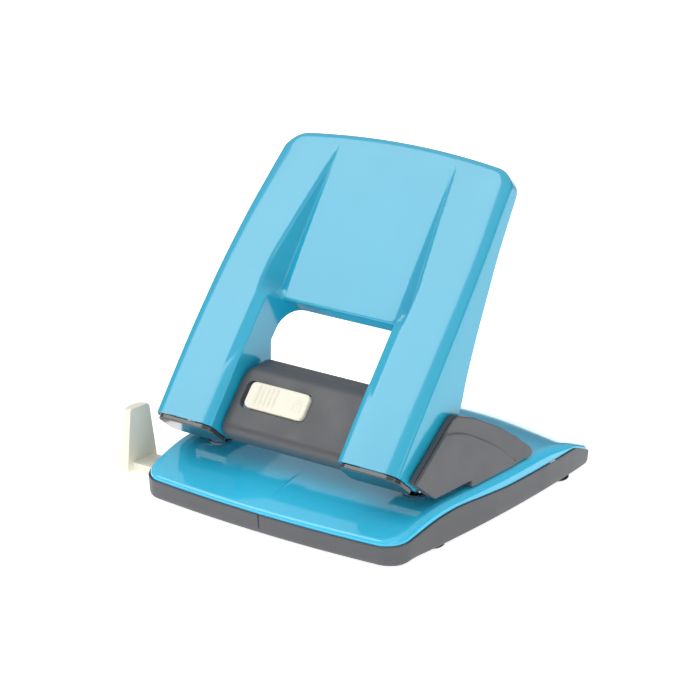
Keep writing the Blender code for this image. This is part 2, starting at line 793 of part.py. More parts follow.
def make_arm_cap(name, side):
    """Dark plug that closes the lower end of an arm."""
    inner = ARM_INNER
    outer = ARM_OUTER
    outline = [(inner + ARM_ROUND, 0.0)]
    outline += arc((outer - ARM_ROUND, ARM_ROUND), ARM_ROUND, -90, 0, 3)
    outline += [(outer, 9.5), (outer - 2.0, 11.6), (inner + 2.0, 11.6), (inner, 9.5)]
    outline += arc((inner + ARM_ROUND, ARM_ROUND), ARM_ROUND, 180, 270, 3)[:-1]
    cap = flat_outline(name, mirrored(outline, side), -1.7, -GAP)
    x0, x1 = span(inner + SKIN + 0.4, outer - SKIN - 0.4, side)
    plug = box("cap_plug", (x0, 4.2, -0.8), (x1, 10.6, 1.6))
    join(cap, plug)
    return finish(cap, "grey", True)


def make_front_panel():
    """Grey bridge between the arms, with the slot for the lock slider."""
    outline = [(PANEL_SINK, 1.2), (PANEL_SINK, 22.8), (4.8, 24.2), (11.2, 29.6), (11.2, 27.4)]
    outline += [(6.2, 23.0), (6.2, 2.8), (12.0, 2.8), (12.0, 0.2), (5.0, 0.2)]
    panel = side_outline("front_panel", outline, -PANEL_HALF, PANEL_HALF)
    slot = front_outline(
        "slider_slot", rounded_rectangle((SLOT_X[0], SLOT_S[0]), (SLOT_X[1], SLOT_S[1]), 2.0),
        0.0, 10.0, CUTTERS,
    )
    cut(panel, slot)
    return finish(panel, "grey", True)


def make_lever(name, side):
    """Steel lever: it turns on the axle, and its nose drives the pin down."""
    angle = math.radians(NOSE_START_DEG)
    nose_y = PIVOT[0] + NOSE_REACH * math.cos(angle)
    nose_z = PIVOT[1] + NOSE_REACH * math.sin(angle)
    nose = to_handle(nose_y, nose_z)
    hub = (PIVOT_DEPTH, PIVOT_S)
    crook = to_handle(PIVOT[0] + 4.8, PIVOT[1] + 1.4)
    outline = arc(hub, 4.2, 180, 340 + LEAN_DEG, 7)
    outline += [crook]
    outline += arc(nose, NOSE_RADIUS, LEAN_DEG - 150, LEAN_DEG + NOSE_START_DEG + 90, 7)
    outline += [(6.6, 22.5), (4.4, 25.0), (4.4, 33.5), (2.2, 33.5), (2.2, 14.0)]
    lever = side_outline(name, outline, *span(37.6, 42.4, side))
    bore = rod("lever_bore", AXLE_RADIUS + 0.12, 30, 50, "x", hub, 16, CUTTERS)
    if side < 0:
        bore.data.transform(Matrix.Translation((-80, 0, 0)))
    cut(lever, bore, rod("screw_hole", 1.5, 1, 8, "y", (HOLE_X * side, LEVER_SCREW_S), 10, CUTTERS))
    return finish(lever, "steel", True)


def make_lever_screw(name, side):
    profile = [(0, 6.2), (1.5, 6.2), (2.3, 5.6), (2.3, 4.7), (1.2, 4.7), (1.2, 1.3), (0, 1.3)]
    screw = turned(name, profile, (0, 0, 0), "z", 12)
    screw.data.transform(Matrix.Translation((HOLE_X * side, 0, LEVER_SCREW_S)) @ axis_turn("y"))
    return finish(screw, "dark_steel", True)


def make_lock_button():
    """Ribbed slider in the front panel, with the peg that carries the bolt."""
    low = (SLOT_X[0] + 2.4, SLOT_S[0] + 0.3)
    high = (SLOT_X[1] - 0.4, SLOT_S[1] - 0.3)
    outline = rounded_rectangle(low, high, 1.8)
    button = front_outline("lock_button", outline, PANEL_SINK - 1.2, PANEL_SINK + 2.5)
    round_edges(button, 0.4, 1, 60)
    flange = box("slider_flange", (low[0] - 0.2, 6.5, low[1] - 1.6), (high[0] - 3.2, 7.9, high[1] + 1.6))
    join(button, flange)
    return finish(button, "ivory", True)


def make_lock_bolt():
    """Steel bolt behind the slider; its end enters the left bracket."""
    bolt = rod("lock_bolt", BOLT_RADIUS, -32.8, -8.0, "x", (BOLT_DEPTH, BOLT_S), 12)
    foot = box("bolt_foot", (-19.0, 8.2, BOLT_S - 3.0), (-8.0, 9.7, BOLT_S + 3.0))
    web = box("bolt_web", (-14.0, 9.0, BOLT_S - 1.0), (-9.0, BOLT_DEPTH, BOLT_S + 1.0))
    join(bolt, web, foot)
    return finish(bolt, "steel", True)


def make_lock_spring():
    """Small leaf that clicks the slider into either position."""
    return finish(box("lock_spring", (8.0, 6.5, 3.4), (19.0, 7.0, 8.2)), "steel", True)


# ---------------------------------------------------------------- punch pins

def make_punch_pin(name, side):
    """Hardened pin with a head; its tip is ground hollow so that it shears the sheet."""
    r = HOLE_DIAMETER / 2
    profile = [(0, PIN_TOP), (3.5, PIN_TOP), (3.9, PIN_TOP - 0.4), (3.9, PIN_TOP - 1.1), (r, PIN_TOP - 1.1)]
    profile += [(r, PIN_TIP), (0, PIN_TIP + 0.9)]
    return finish(turned(name, profile, (HOLE_X * side, 0, 0), "z", 20), "steel")


def make_return_spring(name, side):
    """Compression spring round the pin, between the guide plate and the pin's head."""
    turns = 4.5
    per_turn = 12
    wire = 0.35
    coil = 3.4
    low = GUIDE_PLATE_TOP + wire + 0.15
    high = PIN_TOP - 1.1 - wire - 0.15
    curve = bpy.data.curves.new(name, "CURVE")
    curve.dimensions = "3D"
    curve.bevel_depth = wire
    curve.bevel_resolution = 1
    curve.use_fill_caps = True
    count = int(turns * per_turn)
    spline = curve.splines.new("POLY")
    spline.points.add(count)
    for i in range(count + 1):
        angle = 2 * math.pi * i / per_turn
        rise = low + (high - low) * i / count
        spline.points[i].co = (coil * math.cos(angle), coil * math.sin(angle), rise, 1.0)
    source = bpy.data.objects.new(name + "_wire", curve)
    PARTS.objects.link(source)
    bpy.context.view_layer.update()
    mesh = bpy.data.meshes.new_from_object(source.evaluated_get(bpy.context.evaluated_depsgraph_get()))
    bpy.data.objects.remove(source, do_unlink=True)
    bm = bmesh.new()
    bm.from_mesh(mesh)
    bmesh.ops.remove_doubles(bm, verts=bm.verts[:], dist=0.0001)
    bmesh.ops.translate(bm, verts=bm.verts[:], vec=(HOLE_X * side, 0, 0))
    return finish(link(mesh_from_bmesh(bm, name), name, PARTS), "steel")


# ------------------------------------------------------------------ assembly

def build():
    make_base_shell()
    make_deck_cover()
    make_chassis_plate()
    make_guide_spring()
    make_tray_hinge_pin()
    make_chip_tray()
    make_paper_guide()
    make_handle_shell()
    make_front_panel()
    make_lock_button()
    make_lock_bolt()
    make_lock_spring()
    for word, side in SIDES:
        make_die("die_" + word, side)
        make_tower_cover("tower_cover_" + word, side)
        make_tower_bracket("tower_bracket_" + word, side)
        make_hinge_axle("hinge_axle_" + word, side)
        make_axle_clip("axle_clip_" + word, side)
        make_arm_cap("arm_cap_" + word, side)
        make_lever("lever_" + word, side)
        make_lever_screw("lever_screw_" + word, side)
        make_punch_pin("punch_pin_" + word, side)
        make_return_spring("return_spring_" + word, side)
        for place, y in zip(("front", "rear"), SCREW_Y):
            make_bracket_screw("bracket_screw_" + place + "_" + word, side, y)
        for place, y in (("front", -2.0), ("rear", 70.0)):
            make_foot("foot_" + place + "_" + word, 47.5 * side, y)


build()
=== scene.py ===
"""Looks of a two-hole desk punch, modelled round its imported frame.

Two sets of millimetre coordinates are used. "Desk" places have X along the row of
holes, Y back from it and Z above the table. "Handle" places have X, the depth behind
the handle's front plane, and the height along that plane.
"""
import math
from collections import namedtuple

import bmesh
import bpy
import numpy as np
from mathutils import Matrix, Vector
from mathutils.geometry import delaunay_2d_cdt


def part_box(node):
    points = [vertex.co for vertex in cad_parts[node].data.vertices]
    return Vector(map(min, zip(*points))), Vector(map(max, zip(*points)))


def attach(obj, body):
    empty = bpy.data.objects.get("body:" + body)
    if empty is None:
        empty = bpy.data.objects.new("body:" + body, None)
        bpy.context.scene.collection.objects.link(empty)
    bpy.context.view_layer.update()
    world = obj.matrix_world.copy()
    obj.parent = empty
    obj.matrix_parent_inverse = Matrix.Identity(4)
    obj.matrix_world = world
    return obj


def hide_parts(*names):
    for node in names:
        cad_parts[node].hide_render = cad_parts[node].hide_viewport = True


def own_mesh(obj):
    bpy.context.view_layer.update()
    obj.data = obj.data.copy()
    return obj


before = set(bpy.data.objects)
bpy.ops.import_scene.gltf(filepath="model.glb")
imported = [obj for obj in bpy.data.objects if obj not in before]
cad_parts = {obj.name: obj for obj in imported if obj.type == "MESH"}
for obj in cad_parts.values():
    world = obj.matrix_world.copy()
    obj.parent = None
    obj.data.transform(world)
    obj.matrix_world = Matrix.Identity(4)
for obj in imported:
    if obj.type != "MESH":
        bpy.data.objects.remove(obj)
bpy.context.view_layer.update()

MM = 0.001
SIDES = (("left", -1), ("right", 1))


def centre(node):
    low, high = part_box(node)
    return (low + high) / 2


# ---- places taken from the frame ----
LEFT_PIN = centre("punch_pin_left")
RIGHT_PIN = centre("punch_pin_right")
HOLES = (LEFT_PIN + RIGHT_PIN) / 2
HOLE_X = (RIGHT_PIN.x - LEFT_PIN.x) / 2 / MM
AXLE = centre("hinge_axle_left")
AXLE_Y = (AXLE.y - HOLES.y) / MM
AXLE_Z = AXLE.z / MM

# ---- base (mm) ----
BASE_HALF_WIDTH = 54.6
BASE_FRONT = -26.6
BASE_REAR = 87.0
FRONT_BULGE = 3.2
REAR_BULGE = 0.5
FRONT_CORNER = 7.0
REAR_CORNER = 4.5
BASE_BOTTOM = 1.5
BASE_WALL = 1.8
DECK_TOP = 15.5
DECK_THICKNESS = 1.2
DECK_INSET = 0.7
DECK_ROLL = 3.0
DECK_FRONT_ROLL = 1.0
WAIST = 2.6
WAIST_Y = 26.0
WAIST_REACH = 56.0
LIP_FALL = 0.0088
LIP_FALL_Y = 2.0
REAR_FALL = 0.004
CORNER_FALL = 0.0026
REAR_FALL_Y = 50.0
SEAM_UNDER_DECK = 0.9
DIE_HOLE = 4.1
DISH_DEPTH = 0.3
DISH_RADII = (4.2, 7.2)
MARK_HALF = 0.35
MARK_DEPTH = 0.3
TRAY_WINDOW = ((-43.4, -6.9), (43.4, 80.6))
RAIL_SLOT = ((-70, -19.8, 3.9), (-45, -8.7, 7.7))
FRONT_MARK = ((-0.3, -31.5, 2.6), (0.3, -29.35, 9))

# ---- handle (mm) ----
LEAN = math.radians(39.8)
AXLE_DEPTH = 8.19
AXLE_HEIGHT = 9.69
HANDLE_TOP = 109.0
TOP_FALL = 2.0
TOP_FALL_X = 34.0
TOP_CORNER = 8.0
TOP_CORNER_X = 38.2
ARM_ROUND = 4.8
ROUND_DEPTH = 1.7
TOP_ROUND = 2.2
SKIN = 1.4
LIP = 48.5
APEX = 103.5
PANEL_SINK = 3.8
VALLEY_SINK = 5.4
BAND_DEPTH = 1.2
RIDGE_X = 29.6
WINDOW_X = 25.7
ARM_INNER = 25.6
WALL_BACK = 10.8

DESK = Matrix.Translation((HOLES.x, HOLES.y, 0)) @ Matrix.Scale(MM, 4)
HANDLE = (
    Matrix.Translation((HOLES.x, AXLE.y, AXLE.z))
    @ Matrix.Rotation(-LEAN, 4, "X")
    @ Matrix.Scale(MM, 4)
    @ Matrix.Translation((0, -AXLE_DEPTH, -AXLE_HEIGHT))
)


# ---- materials ----

def set_range(node, *limits):
    """Limits that a map-range node reads from and writes to."""
    for name, limit in zip(("From Min", "From Max", "To Min", "To Max"), limits):
        node.inputs[name].default_value = limit


class Nodes:
    """Short way to build a material's nodes."""

    def __init__(self, name):
        self.material = bpy.data.materials.new(name)
        self.material.use_nodes = True
        self.tree = self.material.node_tree
        self.shader = self.tree.nodes["Principled BSDF"]
        self.place = self.add("ShaderNodeTexCoord").outputs["Object"]

    def add(self, kind, **values):
        node = self.tree.nodes.new(kind)
        for key, value in values.items():
            setattr(node, key, value)
        return node

    def wire(self, output, socket):
        self.tree.links.new(output, socket)

    def noise(self, scale_mm, detail=3.0, stretch=(1, 1, 1)):
        """Noise whose features are about scale_mm across, longer where stretched."""
        mapping = self.add("ShaderNodeMapping")
        mapping.inputs["Scale"].default_value = [1 / value for value in stretch]
        self.wire(self.place, mapping.inputs["Vector"])
        noise = self.add("ShaderNodeTexNoise")
        noise.inputs["Scale"].default_value = 1 / (scale_mm * MM)
        noise.inputs["Detail"].default_value = detail
        self.wire(mapping.outputs["Vector"], noise.inputs["Vector"])
        return noise.outputs["Fac"]

    def roughness(self, fac, low, high):
        """Roughness from low to high over the middle of a noise."""
        mapped = self.add("ShaderNodeMapRange")
        set_range(mapped, 0.35, 0.65, low, high)
        self.wire(fac, mapped.inputs["Value"])
        self.wire(mapped.outputs["Result"], self.shader.inputs["Roughness"])

    def colour(self, fac, first, second):
        mix = self.add("ShaderNodeMix", data_type="RGBA")
        mix.inputs[6].default_value = (*first, 1)
        mix.inputs[7].default_value = (*second, 1)
        self.wire(fac, mix.inputs[0])
        self.wire(mix.outputs[2], self.shader.inputs["Base Color"])

    def bump(self, layers):
        """Stacked bumps of (height output, depth in mm)."""
        normal = None
        for height, depth in layers:
            bump = self.add("ShaderNodeBump")
            bump.inputs["Strength"].default_value = 1.0
            bump.inputs["Distance"].default_value = depth * MM
            self.wire(height, bump.inputs["Height"])
            if normal is not None:
                self.wire(normal, bump.inputs["Normal"])
            normal = bump.outputs["Normal"]
        self.wire(normal, self.shader.inputs["Normal"])

    def set(self, **values):
        for key, value in values.items():
            self.shader.inputs[key.replace("_", " ")].default_value = value


def shade(colour, factor):
    return tuple(min(channel * factor, 1.0) for channel in colour)


def gloss_plastic(name, colour, roughness, coat, variation=0.06):
    """Polished moulding: faint flow marks in the colour and a slight orange peel."""
    nodes = Nodes(name)
    flow = nodes.noise(26.0, 2.0, (1.0, 1.0, 3.0))
    nodes.colour(flow, shade(colour, 1 - variation), shade(colour, 1 + variation))
    nodes.roughness(nodes.noise(14.0, 4.0), roughness * 0.92, roughness * 1.12)
    nodes.bump([(nodes.noise(9.0, 1.0), 0.0015), (nodes.noise(0.35, 2.0), 0.0012)])
    nodes.set(Coat_Weight=coat, Coat_Roughness=0.06, IOR=1.5)
    return nodes.material


def satin_plastic(name, colour, roughness, grain_mm=0.32, grain_depth=0.012):
    """Spark-eroded moulding: an even fine grain with a soft sheen."""
    nodes = Nodes(name)
    cloud = nodes.noise(18.0, 3.0)
    nodes.colour(cloud, shade(colour, 0.93), shade(colour, 1.07))
    nodes.roughness(nodes.noise(9.0, 5.0), roughness - 0.05, roughness + 0.07)
    nodes.bump([(nodes.noise(grain_mm, 2.0), grain_depth), (nodes.noise(6.0, 1.0), 0.008)])
    nodes.set(IOR=1.5)
    return nodes.material


def rubber(name, colour):
    nodes = Nodes(name)
    nodes.colour(nodes.noise(3.0, 4.0), shade(colour, 0.8), shade(colour, 1.6))
    nodes.roughness(nodes.noise(1.2, 4.0), 0.7, 0.9)
    nodes.bump([(nodes.noise(0.5, 3.0), 0.03)])
    return nodes.material


def brushed_steel(name, colour, roughness, stretch, scratch_mm=0.25):
    """Steel with grinding marks along the stretched direction and a few stains."""
    nodes = Nodes(name)
    nodes.colour(nodes.noise(8.0, 4.0), shade(colour, 0.86), shade(colour, 1.08))
    marks = nodes.noise(scratch_mm, 2.0, stretch)
    nodes.roughness(marks, roughness * 0.75, roughness * 1.35)
    nodes.bump([(marks, 0.004)])
    nodes.set(Metallic=1.0)
    return nodes.material


BLUE = gloss_plastic("handle_blue", (0.018, 0.42, 0.63), 0.2, 0.6)
DECK_BLUE = gloss_plastic("deck_blue", (0.035, 0.6, 0.92), 0.14, 0.8)
GREY = satin_plastic("grey_plastic", (0.09, 0.092, 0.1), 0.42)
BLACK = gloss_plastic("cap_black", (0.035, 0.036, 0.042), 0.16, 0.6)
IVORY = satin_plastic("ivory_plastic", (0.92, 0.88, 0.74), 0.34, 0.5, 0.006)
RUBBER = rubber("foot_rubber", (0.014, 0.014, 0.015))
STEEL = brushed_steel("plain_steel", (0.56, 0.57, 0.58), 0.32, (14, 1, 1))
TOOL_STEEL = brushed_steel("tool_steel", (0.62, 0.62, 0.61), 0.22, (1, 1, 9), 0.18)
SPRING_STEEL = brushed_steel("spring_steel", (0.5, 0.5, 0.5), 0.28, (1, 1, 3), 0.2)
SCREW_STEEL = brushed_steel("screw_steel", (0.2, 0.2, 0.21), 0.36, (3, 3, 1), 0.3)


# ---- shape helpers ----

Rim = namedtuple("Rim", "place normal radius drop back")


def ramp(t, width):
    """Nothing before a kink and t after it, with the kink rounded over width each side."""
    if t <= -width:
        return 0.0
    if t >= width:
        return t
    return (t + width) ** 2 / (4 * width)


def smooth(value, low, high):
    """Eased step from 0 at low to 1 at high."""
    t = min(max((value - low) / (high - low), 0.0), 1.0)
    return t * t * (3 - 2 * t)


def between(value, stations):
    """Straight-line reading of a list of (place, size) pairs."""
    places, sizes = zip(*stations)
    return float(np.interp(value, places, sizes))


def averaged(value, stations, shift):
    """Reading of stations averaged over five places, which rounds their kinks."""
    readings = [between(value + shift * i, stations) for i in (-2, -1, 0, 1, 2)]
    return sum(readings) / len(readings)


def steps(low, high, spacing):
    """Evenly spaced values from low to high, both included."""
    count = max(int(round(abs(high - low) / spacing)), 1)
    return [low + (high - low) * i / count for i in range(count + 1)]


def arc(middle, radius, start_deg, end_deg, spacing=0.8):
    """Points and directions along an arc."""
    length = math.radians(abs(end_deg - start_deg)) * radius
    out = []
    turn = spacing / max(length, spacing) * abs(end_deg - start_deg)
    for degrees in steps(start_deg, end_deg, turn):
        way = Vector((math.cos(math.radians(degrees)), math.sin(math.radians(degrees))))
        out.append((Vector(middle) + way * radius, way))
    return out


def rounded_box(low, high, radius, spacing=0.8):
    """Loop of (point, outward direction) round a box with rounded corners."""
    corners = (
        ((high[0] - radius, low[1] + radius), -90),
        ((high[0] - radius, high[1] - radius), 0),
        ((low[0] + radius, high[1] - radius), 90),
        ((low[0] + radius, low[1] + radius), 180),
    )
    arcs = [arc(middle, radius, start, start + 90, spacing) for middle, start in corners]
    return filled(arcs, spacing)


def filled(arcs, spacing):
    """Joins arcs into a closed loop, with points along the straights between them."""
    loop = []
    for first, second in zip(arcs, arcs[1:] + arcs[:1]):
        loop += first
        start, way = first[-1]
        end = second[0][0]
        for t in steps(0.0, 1.0, spacing / max((end - start).length, spacing))[1:-1]:
            loop.append((start.lerp(end, t), way))
    return loop


def rounded_polygon(corners, spacing=0.8):
    """Loop of (point, outward direction) round a polygon of (x, y, radius), anticlockwise."""
    arcs = []
    count = len(corners)
    for i, (x, y, radius) in enumerate(corners):
        here = Vector((x, y))
        before = Vector(corners[i - 1][:2])
        after = Vector(corners[(i + 1) % count][:2])
        way_in = (here - before).normalized()
        way_out = (after - here).normalized()
        turn = math.atan2(way_in.cross(way_out), way_in.dot(way_out))
        back = radius * math.tan(abs(turn) / 2)
        left_turn = 1 if turn > 0 else -1
        start = here - way_in * back
        middle = start + Vector((-way_in.y, way_in.x)) * radius * left_turn
        first = math.degrees(math.atan2(*(start - middle).yx))
        piece = arc(middle, radius, first, first + math.degrees(turn), spacing)
        arcs.append([(point, way * left_turn) for point, way in piece])
    return filled(arcs, spacing)


def inside(points, loop):
    """Which of the points lie inside a closed loop."""
    hit = np.zeros(len(points), bool)
    x, y = points[:, 0], points[:, 1]
    corners = np.array(loop)
    for (x1, y1), (x2, y2) in zip(corners, np.roll(corners, -1, axis=0)):
        if y1 != y2:
            crosses = (y1 > y) != (y2 > y)
            hit ^= crosses & (x < (x2 - x1) * (y - y1) / (y2 - y1) + x1)
    return hit


def sheet(bm, outline, lift, spacing, holes=(), lines=()):
    """Triangulated sheet inside a flat outline, lifted into shape.

    Lines are creases that the triangles' edges follow. Returns the vertices along the
    outline and along each hole, in order.
    """
    loops = [[tuple(point) for point in loop] for loop in (outline, *holes)]
    points = []
    edges = []
    for loop in loops:
        start = len(points)
        points += loop
        edges += [(start + i, start + (i + 1) % len(loop)) for i in range(len(loop))]
    for line in lines:
        start = len(points)
        points += [tuple(point) for point in line]
        edges += [(start + i, start + i + 1) for i in range(len(line) - 1)]
    fixed = np.array(points)
    low, high = fixed.min(axis=0), fixed.max(axis=0)
    grid = []
    for row, y in enumerate(np.arange(low[1], high[1], spacing * 0.87)):
        for x in np.arange(low[0] + (row % 2) * spacing / 2, high[0], spacing):
            grid.append((x, y))
    grid = np.array(grid)
    keep = inside(grid, loops[0])
    for loop in loops[1:]:
        keep &= ~inside(grid, loop)
    grid = grid[keep]
    clear = [np.min(np.sum((fixed - place) ** 2, axis=1)) > (spacing * 0.6) ** 2 for place in grid]
    grid = grid[np.array(clear, bool)]
    every = [Vector(point) for point in points] + [Vector(point) for point in grid]
    flat, _, faces, sources, _, _ = delaunay_2d_cdt(every, edges, [], 0, 1e-5)
    middles = np.array([np.mean([flat[i] for i in face], axis=0) for face in faces])
    keep = inside(middles, loops[0])
    for loop in loops[1:]:
        keep &= ~inside(middles, loop)
    found = {}
    for place, origins in enumerate(sources):
        for origin in origins:
            found[origin] = place
    verts = {}
    for face, wanted in zip(faces, keep):
        if wanted:
            for i in face:
                if i not in verts:
                    verts[i] = bm.verts.new(lift(flat[i].x, flat[i].y))
            bm.faces.new([verts[i] for i in face])
    chains = []
    start = 0
    for loop in loops:
        chains.append([verts[found[start + i]] for i in range(len(loop))])
        start += len(loop)
    return chains


def strip(bm, first, rows, closed):
    """Bands of faces from a row of vertices through rows of new points."""
    last = first
    for row in rows:
        verts = [bm.verts.new(point) for point in row]
        for i in range(len(verts) if closed else len(verts) - 1):
            j = (i + 1) % len(verts)
            bm.faces.new((last[i], last[j], verts[j], verts[i]))
        last = verts
    return last


def inner_outline(rims):
    """Outline of the sheet that the rims round off."""
    return [rim.place - rim.normal * rim.radius for rim in rims]


def rim_rows(rims, depth, lift, arc_steps, wall_steps):
    """Rows of points that round a sheet's edge over and carry it back as a wall."""
    rows = [[] for _ in range(arc_steps + wall_steps)]
    for rim in rims:
        inner = rim.place - rim.normal * rim.radius
        near = inner - rim.normal * 0.05
        far = inner + rim.normal * 0.05
        slope = max((depth(*far) - depth(*near)) / 0.1, 0.0)
        start = min(math.atan(slope), math.radians(70))
        start_depth = depth(*inner)
        round_over = rim.radius / (1 - math.sin(start))
        down_over = (rim.drop or round_over) / math.cos(start)
        for k in range(arc_steps):
            angle = start + (math.pi / 2 - start) * (k + 1) / arc_steps
            place = inner + rim.normal * round_over * (math.sin(angle) - math.sin(start))
            down = down_over * math.cos(start) * (math.cos(start) - math.cos(angle))
            rows[k].append((place, start_depth + down))
        place, edge = rows[arc_steps - 1][-1]
        back_place, back = rim.back if isinstance(rim.back, tuple) else (place, rim.back)
        for k in range(wall_steps):
            t = (k + 1) / wall_steps
            rows[arc_steps + k].append((place.lerp(back_place, t), edge + (back - edge) * t))
    return [[lift(place.x, place.y, down) for place, down in row] for row in rows]


def solid_rings(bm, rings, caps=True):
    """Bands through closed rings of equal length, with their ends filled."""
    first = [bm.verts.new(point) for point in rings[0]]
    last = strip(bm, first, rings[1:], True)
    if caps:
        bm.faces.new(first)
        bm.faces.new(last)


def to_object(bm, name, facing=None):
    """Object from a bmesh, turned to face outwards; facing settles it for open sheets."""
    bmesh.ops.remove_doubles(bm, verts=bm.verts[:], dist=1e-4)
    bmesh.ops.recalc_face_normals(bm, faces=bm.faces[:])
    if facing is not None:
        total = sum((face.normal * face.calc_area() for face in bm.faces), Vector())
        if total.dot(Vector(facing)) < 0:
            bmesh.ops.reverse_faces(bm, faces=bm.faces[:])
    mesh = bpy.data.meshes.new(name)
    bm.to_mesh(mesh)
    bm.free()
    obj = bpy.data.objects.new(name, mesh)
    bpy.context.scene.collection.objects.link(obj)
    return obj


def bake(obj):
    """Replace the mesh by its evaluated one, with no modifiers left."""
    bpy.context.view_layer.update()
    mesh = bpy.data.meshes.new_from_object(
        obj.evaluated_get(bpy.context.evaluated_depsgraph_get())
    )
    obj.modifiers.clear()
    obj.data = mesh
    return obj


def thicken(obj, thickness):
    """Thickness in mm behind an open sheet."""
    solidify = obj.modifiers.new("Solidify", "SOLIDIFY")
    solidify.thickness = thickness
    solidify.offset = -1
    return bake(obj)


def cut(obj, *cutters):
    for cutter in cutters:
        boolean = obj.modifiers.new("Boolean", "BOOLEAN")
        boolean.operation = "DIFFERENCE"
        boolean.solver = "EXACT"
        boolean.object = cutter
        bake(obj)
        bpy.data.objects.remove(cutter, do_unlink=True)
    return obj


def block(name, low, high):
    """Plain cutter."""
    bm = bmesh.new()
    bmesh.ops.create_cube(bm, size=1.0)
    for vert in bm.verts:
        vert.co = Vector([(l + h) / 2 + c * (h - l) for c, l, h in zip(vert.co, low, high)])
    return to_object(bm, name)


def soften(obj, width, segments=3, angle=30):
    bevel = obj.modifiers.new("Bevel", "BEVEL")
    bevel.width = width
    bevel.segments = segments
    bevel.limit_method = "ANGLE"
    bevel.angle_limit = math.radians(angle)
    return obj


def finish(obj, place, body, material, nodes, sharp_deg=50):
    """Put a millimetre mesh in the frame, shade it, hang it on its body and hide the CAD nodes it
    stands for.
    """
    bake(obj)
    obj.data.transform(place)
    for polygon in obj.data.polygons:
        polygon.use_smooth = True
    obj.data.set_sharp_from_angle(angle=math.radians(sharp_deg))
    weighted = obj.modifiers.new("Weighted", "WEIGHTED_NORMAL")
    weighted.keep_sharp = True
    obj.data.materials.clear()
    obj.data.materials.append(material)
    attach(obj, body)
    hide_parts(*nodes)
    return obj


def turned(name, profile, middle, axis="z", segments=48):
    """Solid turned about an axis from (radius, height) points, both ends on the axis or closed."""
    bm = bmesh.new()
    turns = {
        "x": Matrix.Rotation(math.pi / 2, 4, "Y"),
        "y": Matrix.Rotation(-math.pi / 2, 4, "X"),
        "z": Matrix.Identity(4),
    }
    rings = []
    for radius, height in profile:
        radius = max(radius, 0.001)
        ring = []
        for i in range(segments):
            angle = 2 * math.pi * i / segments
            ring.append(Vector((radius * math.cos(angle), radius * math.sin(angle), height)))
        rings.append(ring)
    if profile[0][0] > 0:
        rings.append(rings[0])
    place = Matrix.Translation(middle) @ turns[axis]
    rings = [[place @ point for point in ring] for ring in rings]
    solid_rings(bm, rings, caps=profile[0][0] == 0)
    return to_object(bm, name)


# ---- base ----

def half_width(y):
    """Half the base's width at a place along its depth, with rounded corners."""
    belly = WAIST * ((y - WAIST_Y) / WAIST_REACH) ** 2
    width = BASE_HALF_WIDTH - belly
    for corner, end in ((FRONT_CORNER, BASE_FRONT - y), (REAR_CORNER, y - BASE_REAR)):
        over = min(max(end + corner, 0.0), corner)
        width -= corner - math.sqrt(corner ** 2 - over ** 2)
    return width


def bulge(x, y):
    """How far the front and rear edges swell out at a place of the unswollen plan."""
    t = (y - BASE_FRONT) / (BASE_REAR - BASE_FRONT)
    u = min(abs(x) / BASE_HALF_WIDTH, 1.0)
    return (REAR_BULGE * max(t, 0) ** 4 - FRONT_BULGE * max(1 - t, 0) ** 4) * (1 - u * u)


def unswollen(x, y):
    """Y of the unswollen plan for a place on the base."""
    plain = y
    for _ in range(4):
        plain = y - bulge(x, plain)
    return plain


def deck_height(x, y):
    """Height of the deck: rising at the lip, level, falling to the rear corners."""
    if y < LIP_FALL_Y:
        return DECK_TOP - LIP_FALL * (y - LIP_FALL_Y) ** 2
    if y > REAR_FALL_Y:
        return DECK_TOP - (REAR_FALL + CORNER_FALL * (x / 50.0) ** 2) * (y - REAR_FALL_Y) ** 2
    return DECK_TOP


SEAM_STATIONS = (
    (-26.6, 7.4), (-22, 8.0), (-9, 11.3), (-1, 12.4), (6, 12.6), (19, 11.7), (32, 10.9), (86, 10.6),
)


def seam_height(x, y):
    """Height of the deck's lower edge, where the grey shell takes over."""
    return min(averaged(y, SEAM_STATIONS, 2), deck_height(x, y) - SEAM_UNDER_DECK)


def base_loop(spacing=1.2):
    """Anticlockwise loop of (point, outward direction, unswollen y) round the base."""
    arcs = [1 - math.cos(math.radians(degrees)) for degrees in steps(0, 90, 7.5)]
    along = [BASE_FRONT + FRONT_CORNER * a for a in arcs]
    along += steps(along[-1], BASE_REAR - REAR_CORNER, 2.0)[1:-1]
    along += [BASE_REAR - REAR_CORNER * a for a in reversed(arcs)]
    right = [(half_width(y), y) for y in along]
    front = [(x, BASE_FRONT) for x in steps(-right[0][0], right[0][0], spacing)[1:-1]]
    rear = [(x, BASE_REAR) for x in steps(right[-1][0], -right[-1][0], spacing)[1:-1]]
    left = [(-x, y) for x, y in reversed(right)]
    plain = front + right + rear + left
    places = [Vector((x, y + bulge(x, y))) for x, y in plain]
    loop = []
    for i, (place, (_, y)) in enumerate(zip(places, plain)):
        tangent = places[(i + 1) % len(places)] - places[i - 1]
        loop.append((place, Vector((tangent.y, -tangent.x)).normalized(), y))
    return loop


def deck_surface(x, y):
    """Height of the deck's skin, with its centre mark and the dishes round the dies."""
    plain = unswollen(x, y)
    height = deck_height(x, plain)
    for side in (-1, 1):
        away = math.hypot(x - HOLE_X * side, y)
        height -= DISH_DEPTH * (1 - smooth(away, *DISH_RADII))
    mark = max(1 - abs(x) / MARK_HALF, 0.0)
    ends = smooth(y, -21.5, -21.0) * (1 - smooth(y, -6.5, -6.0))
    return height - MARK_DEPTH * mark * ends


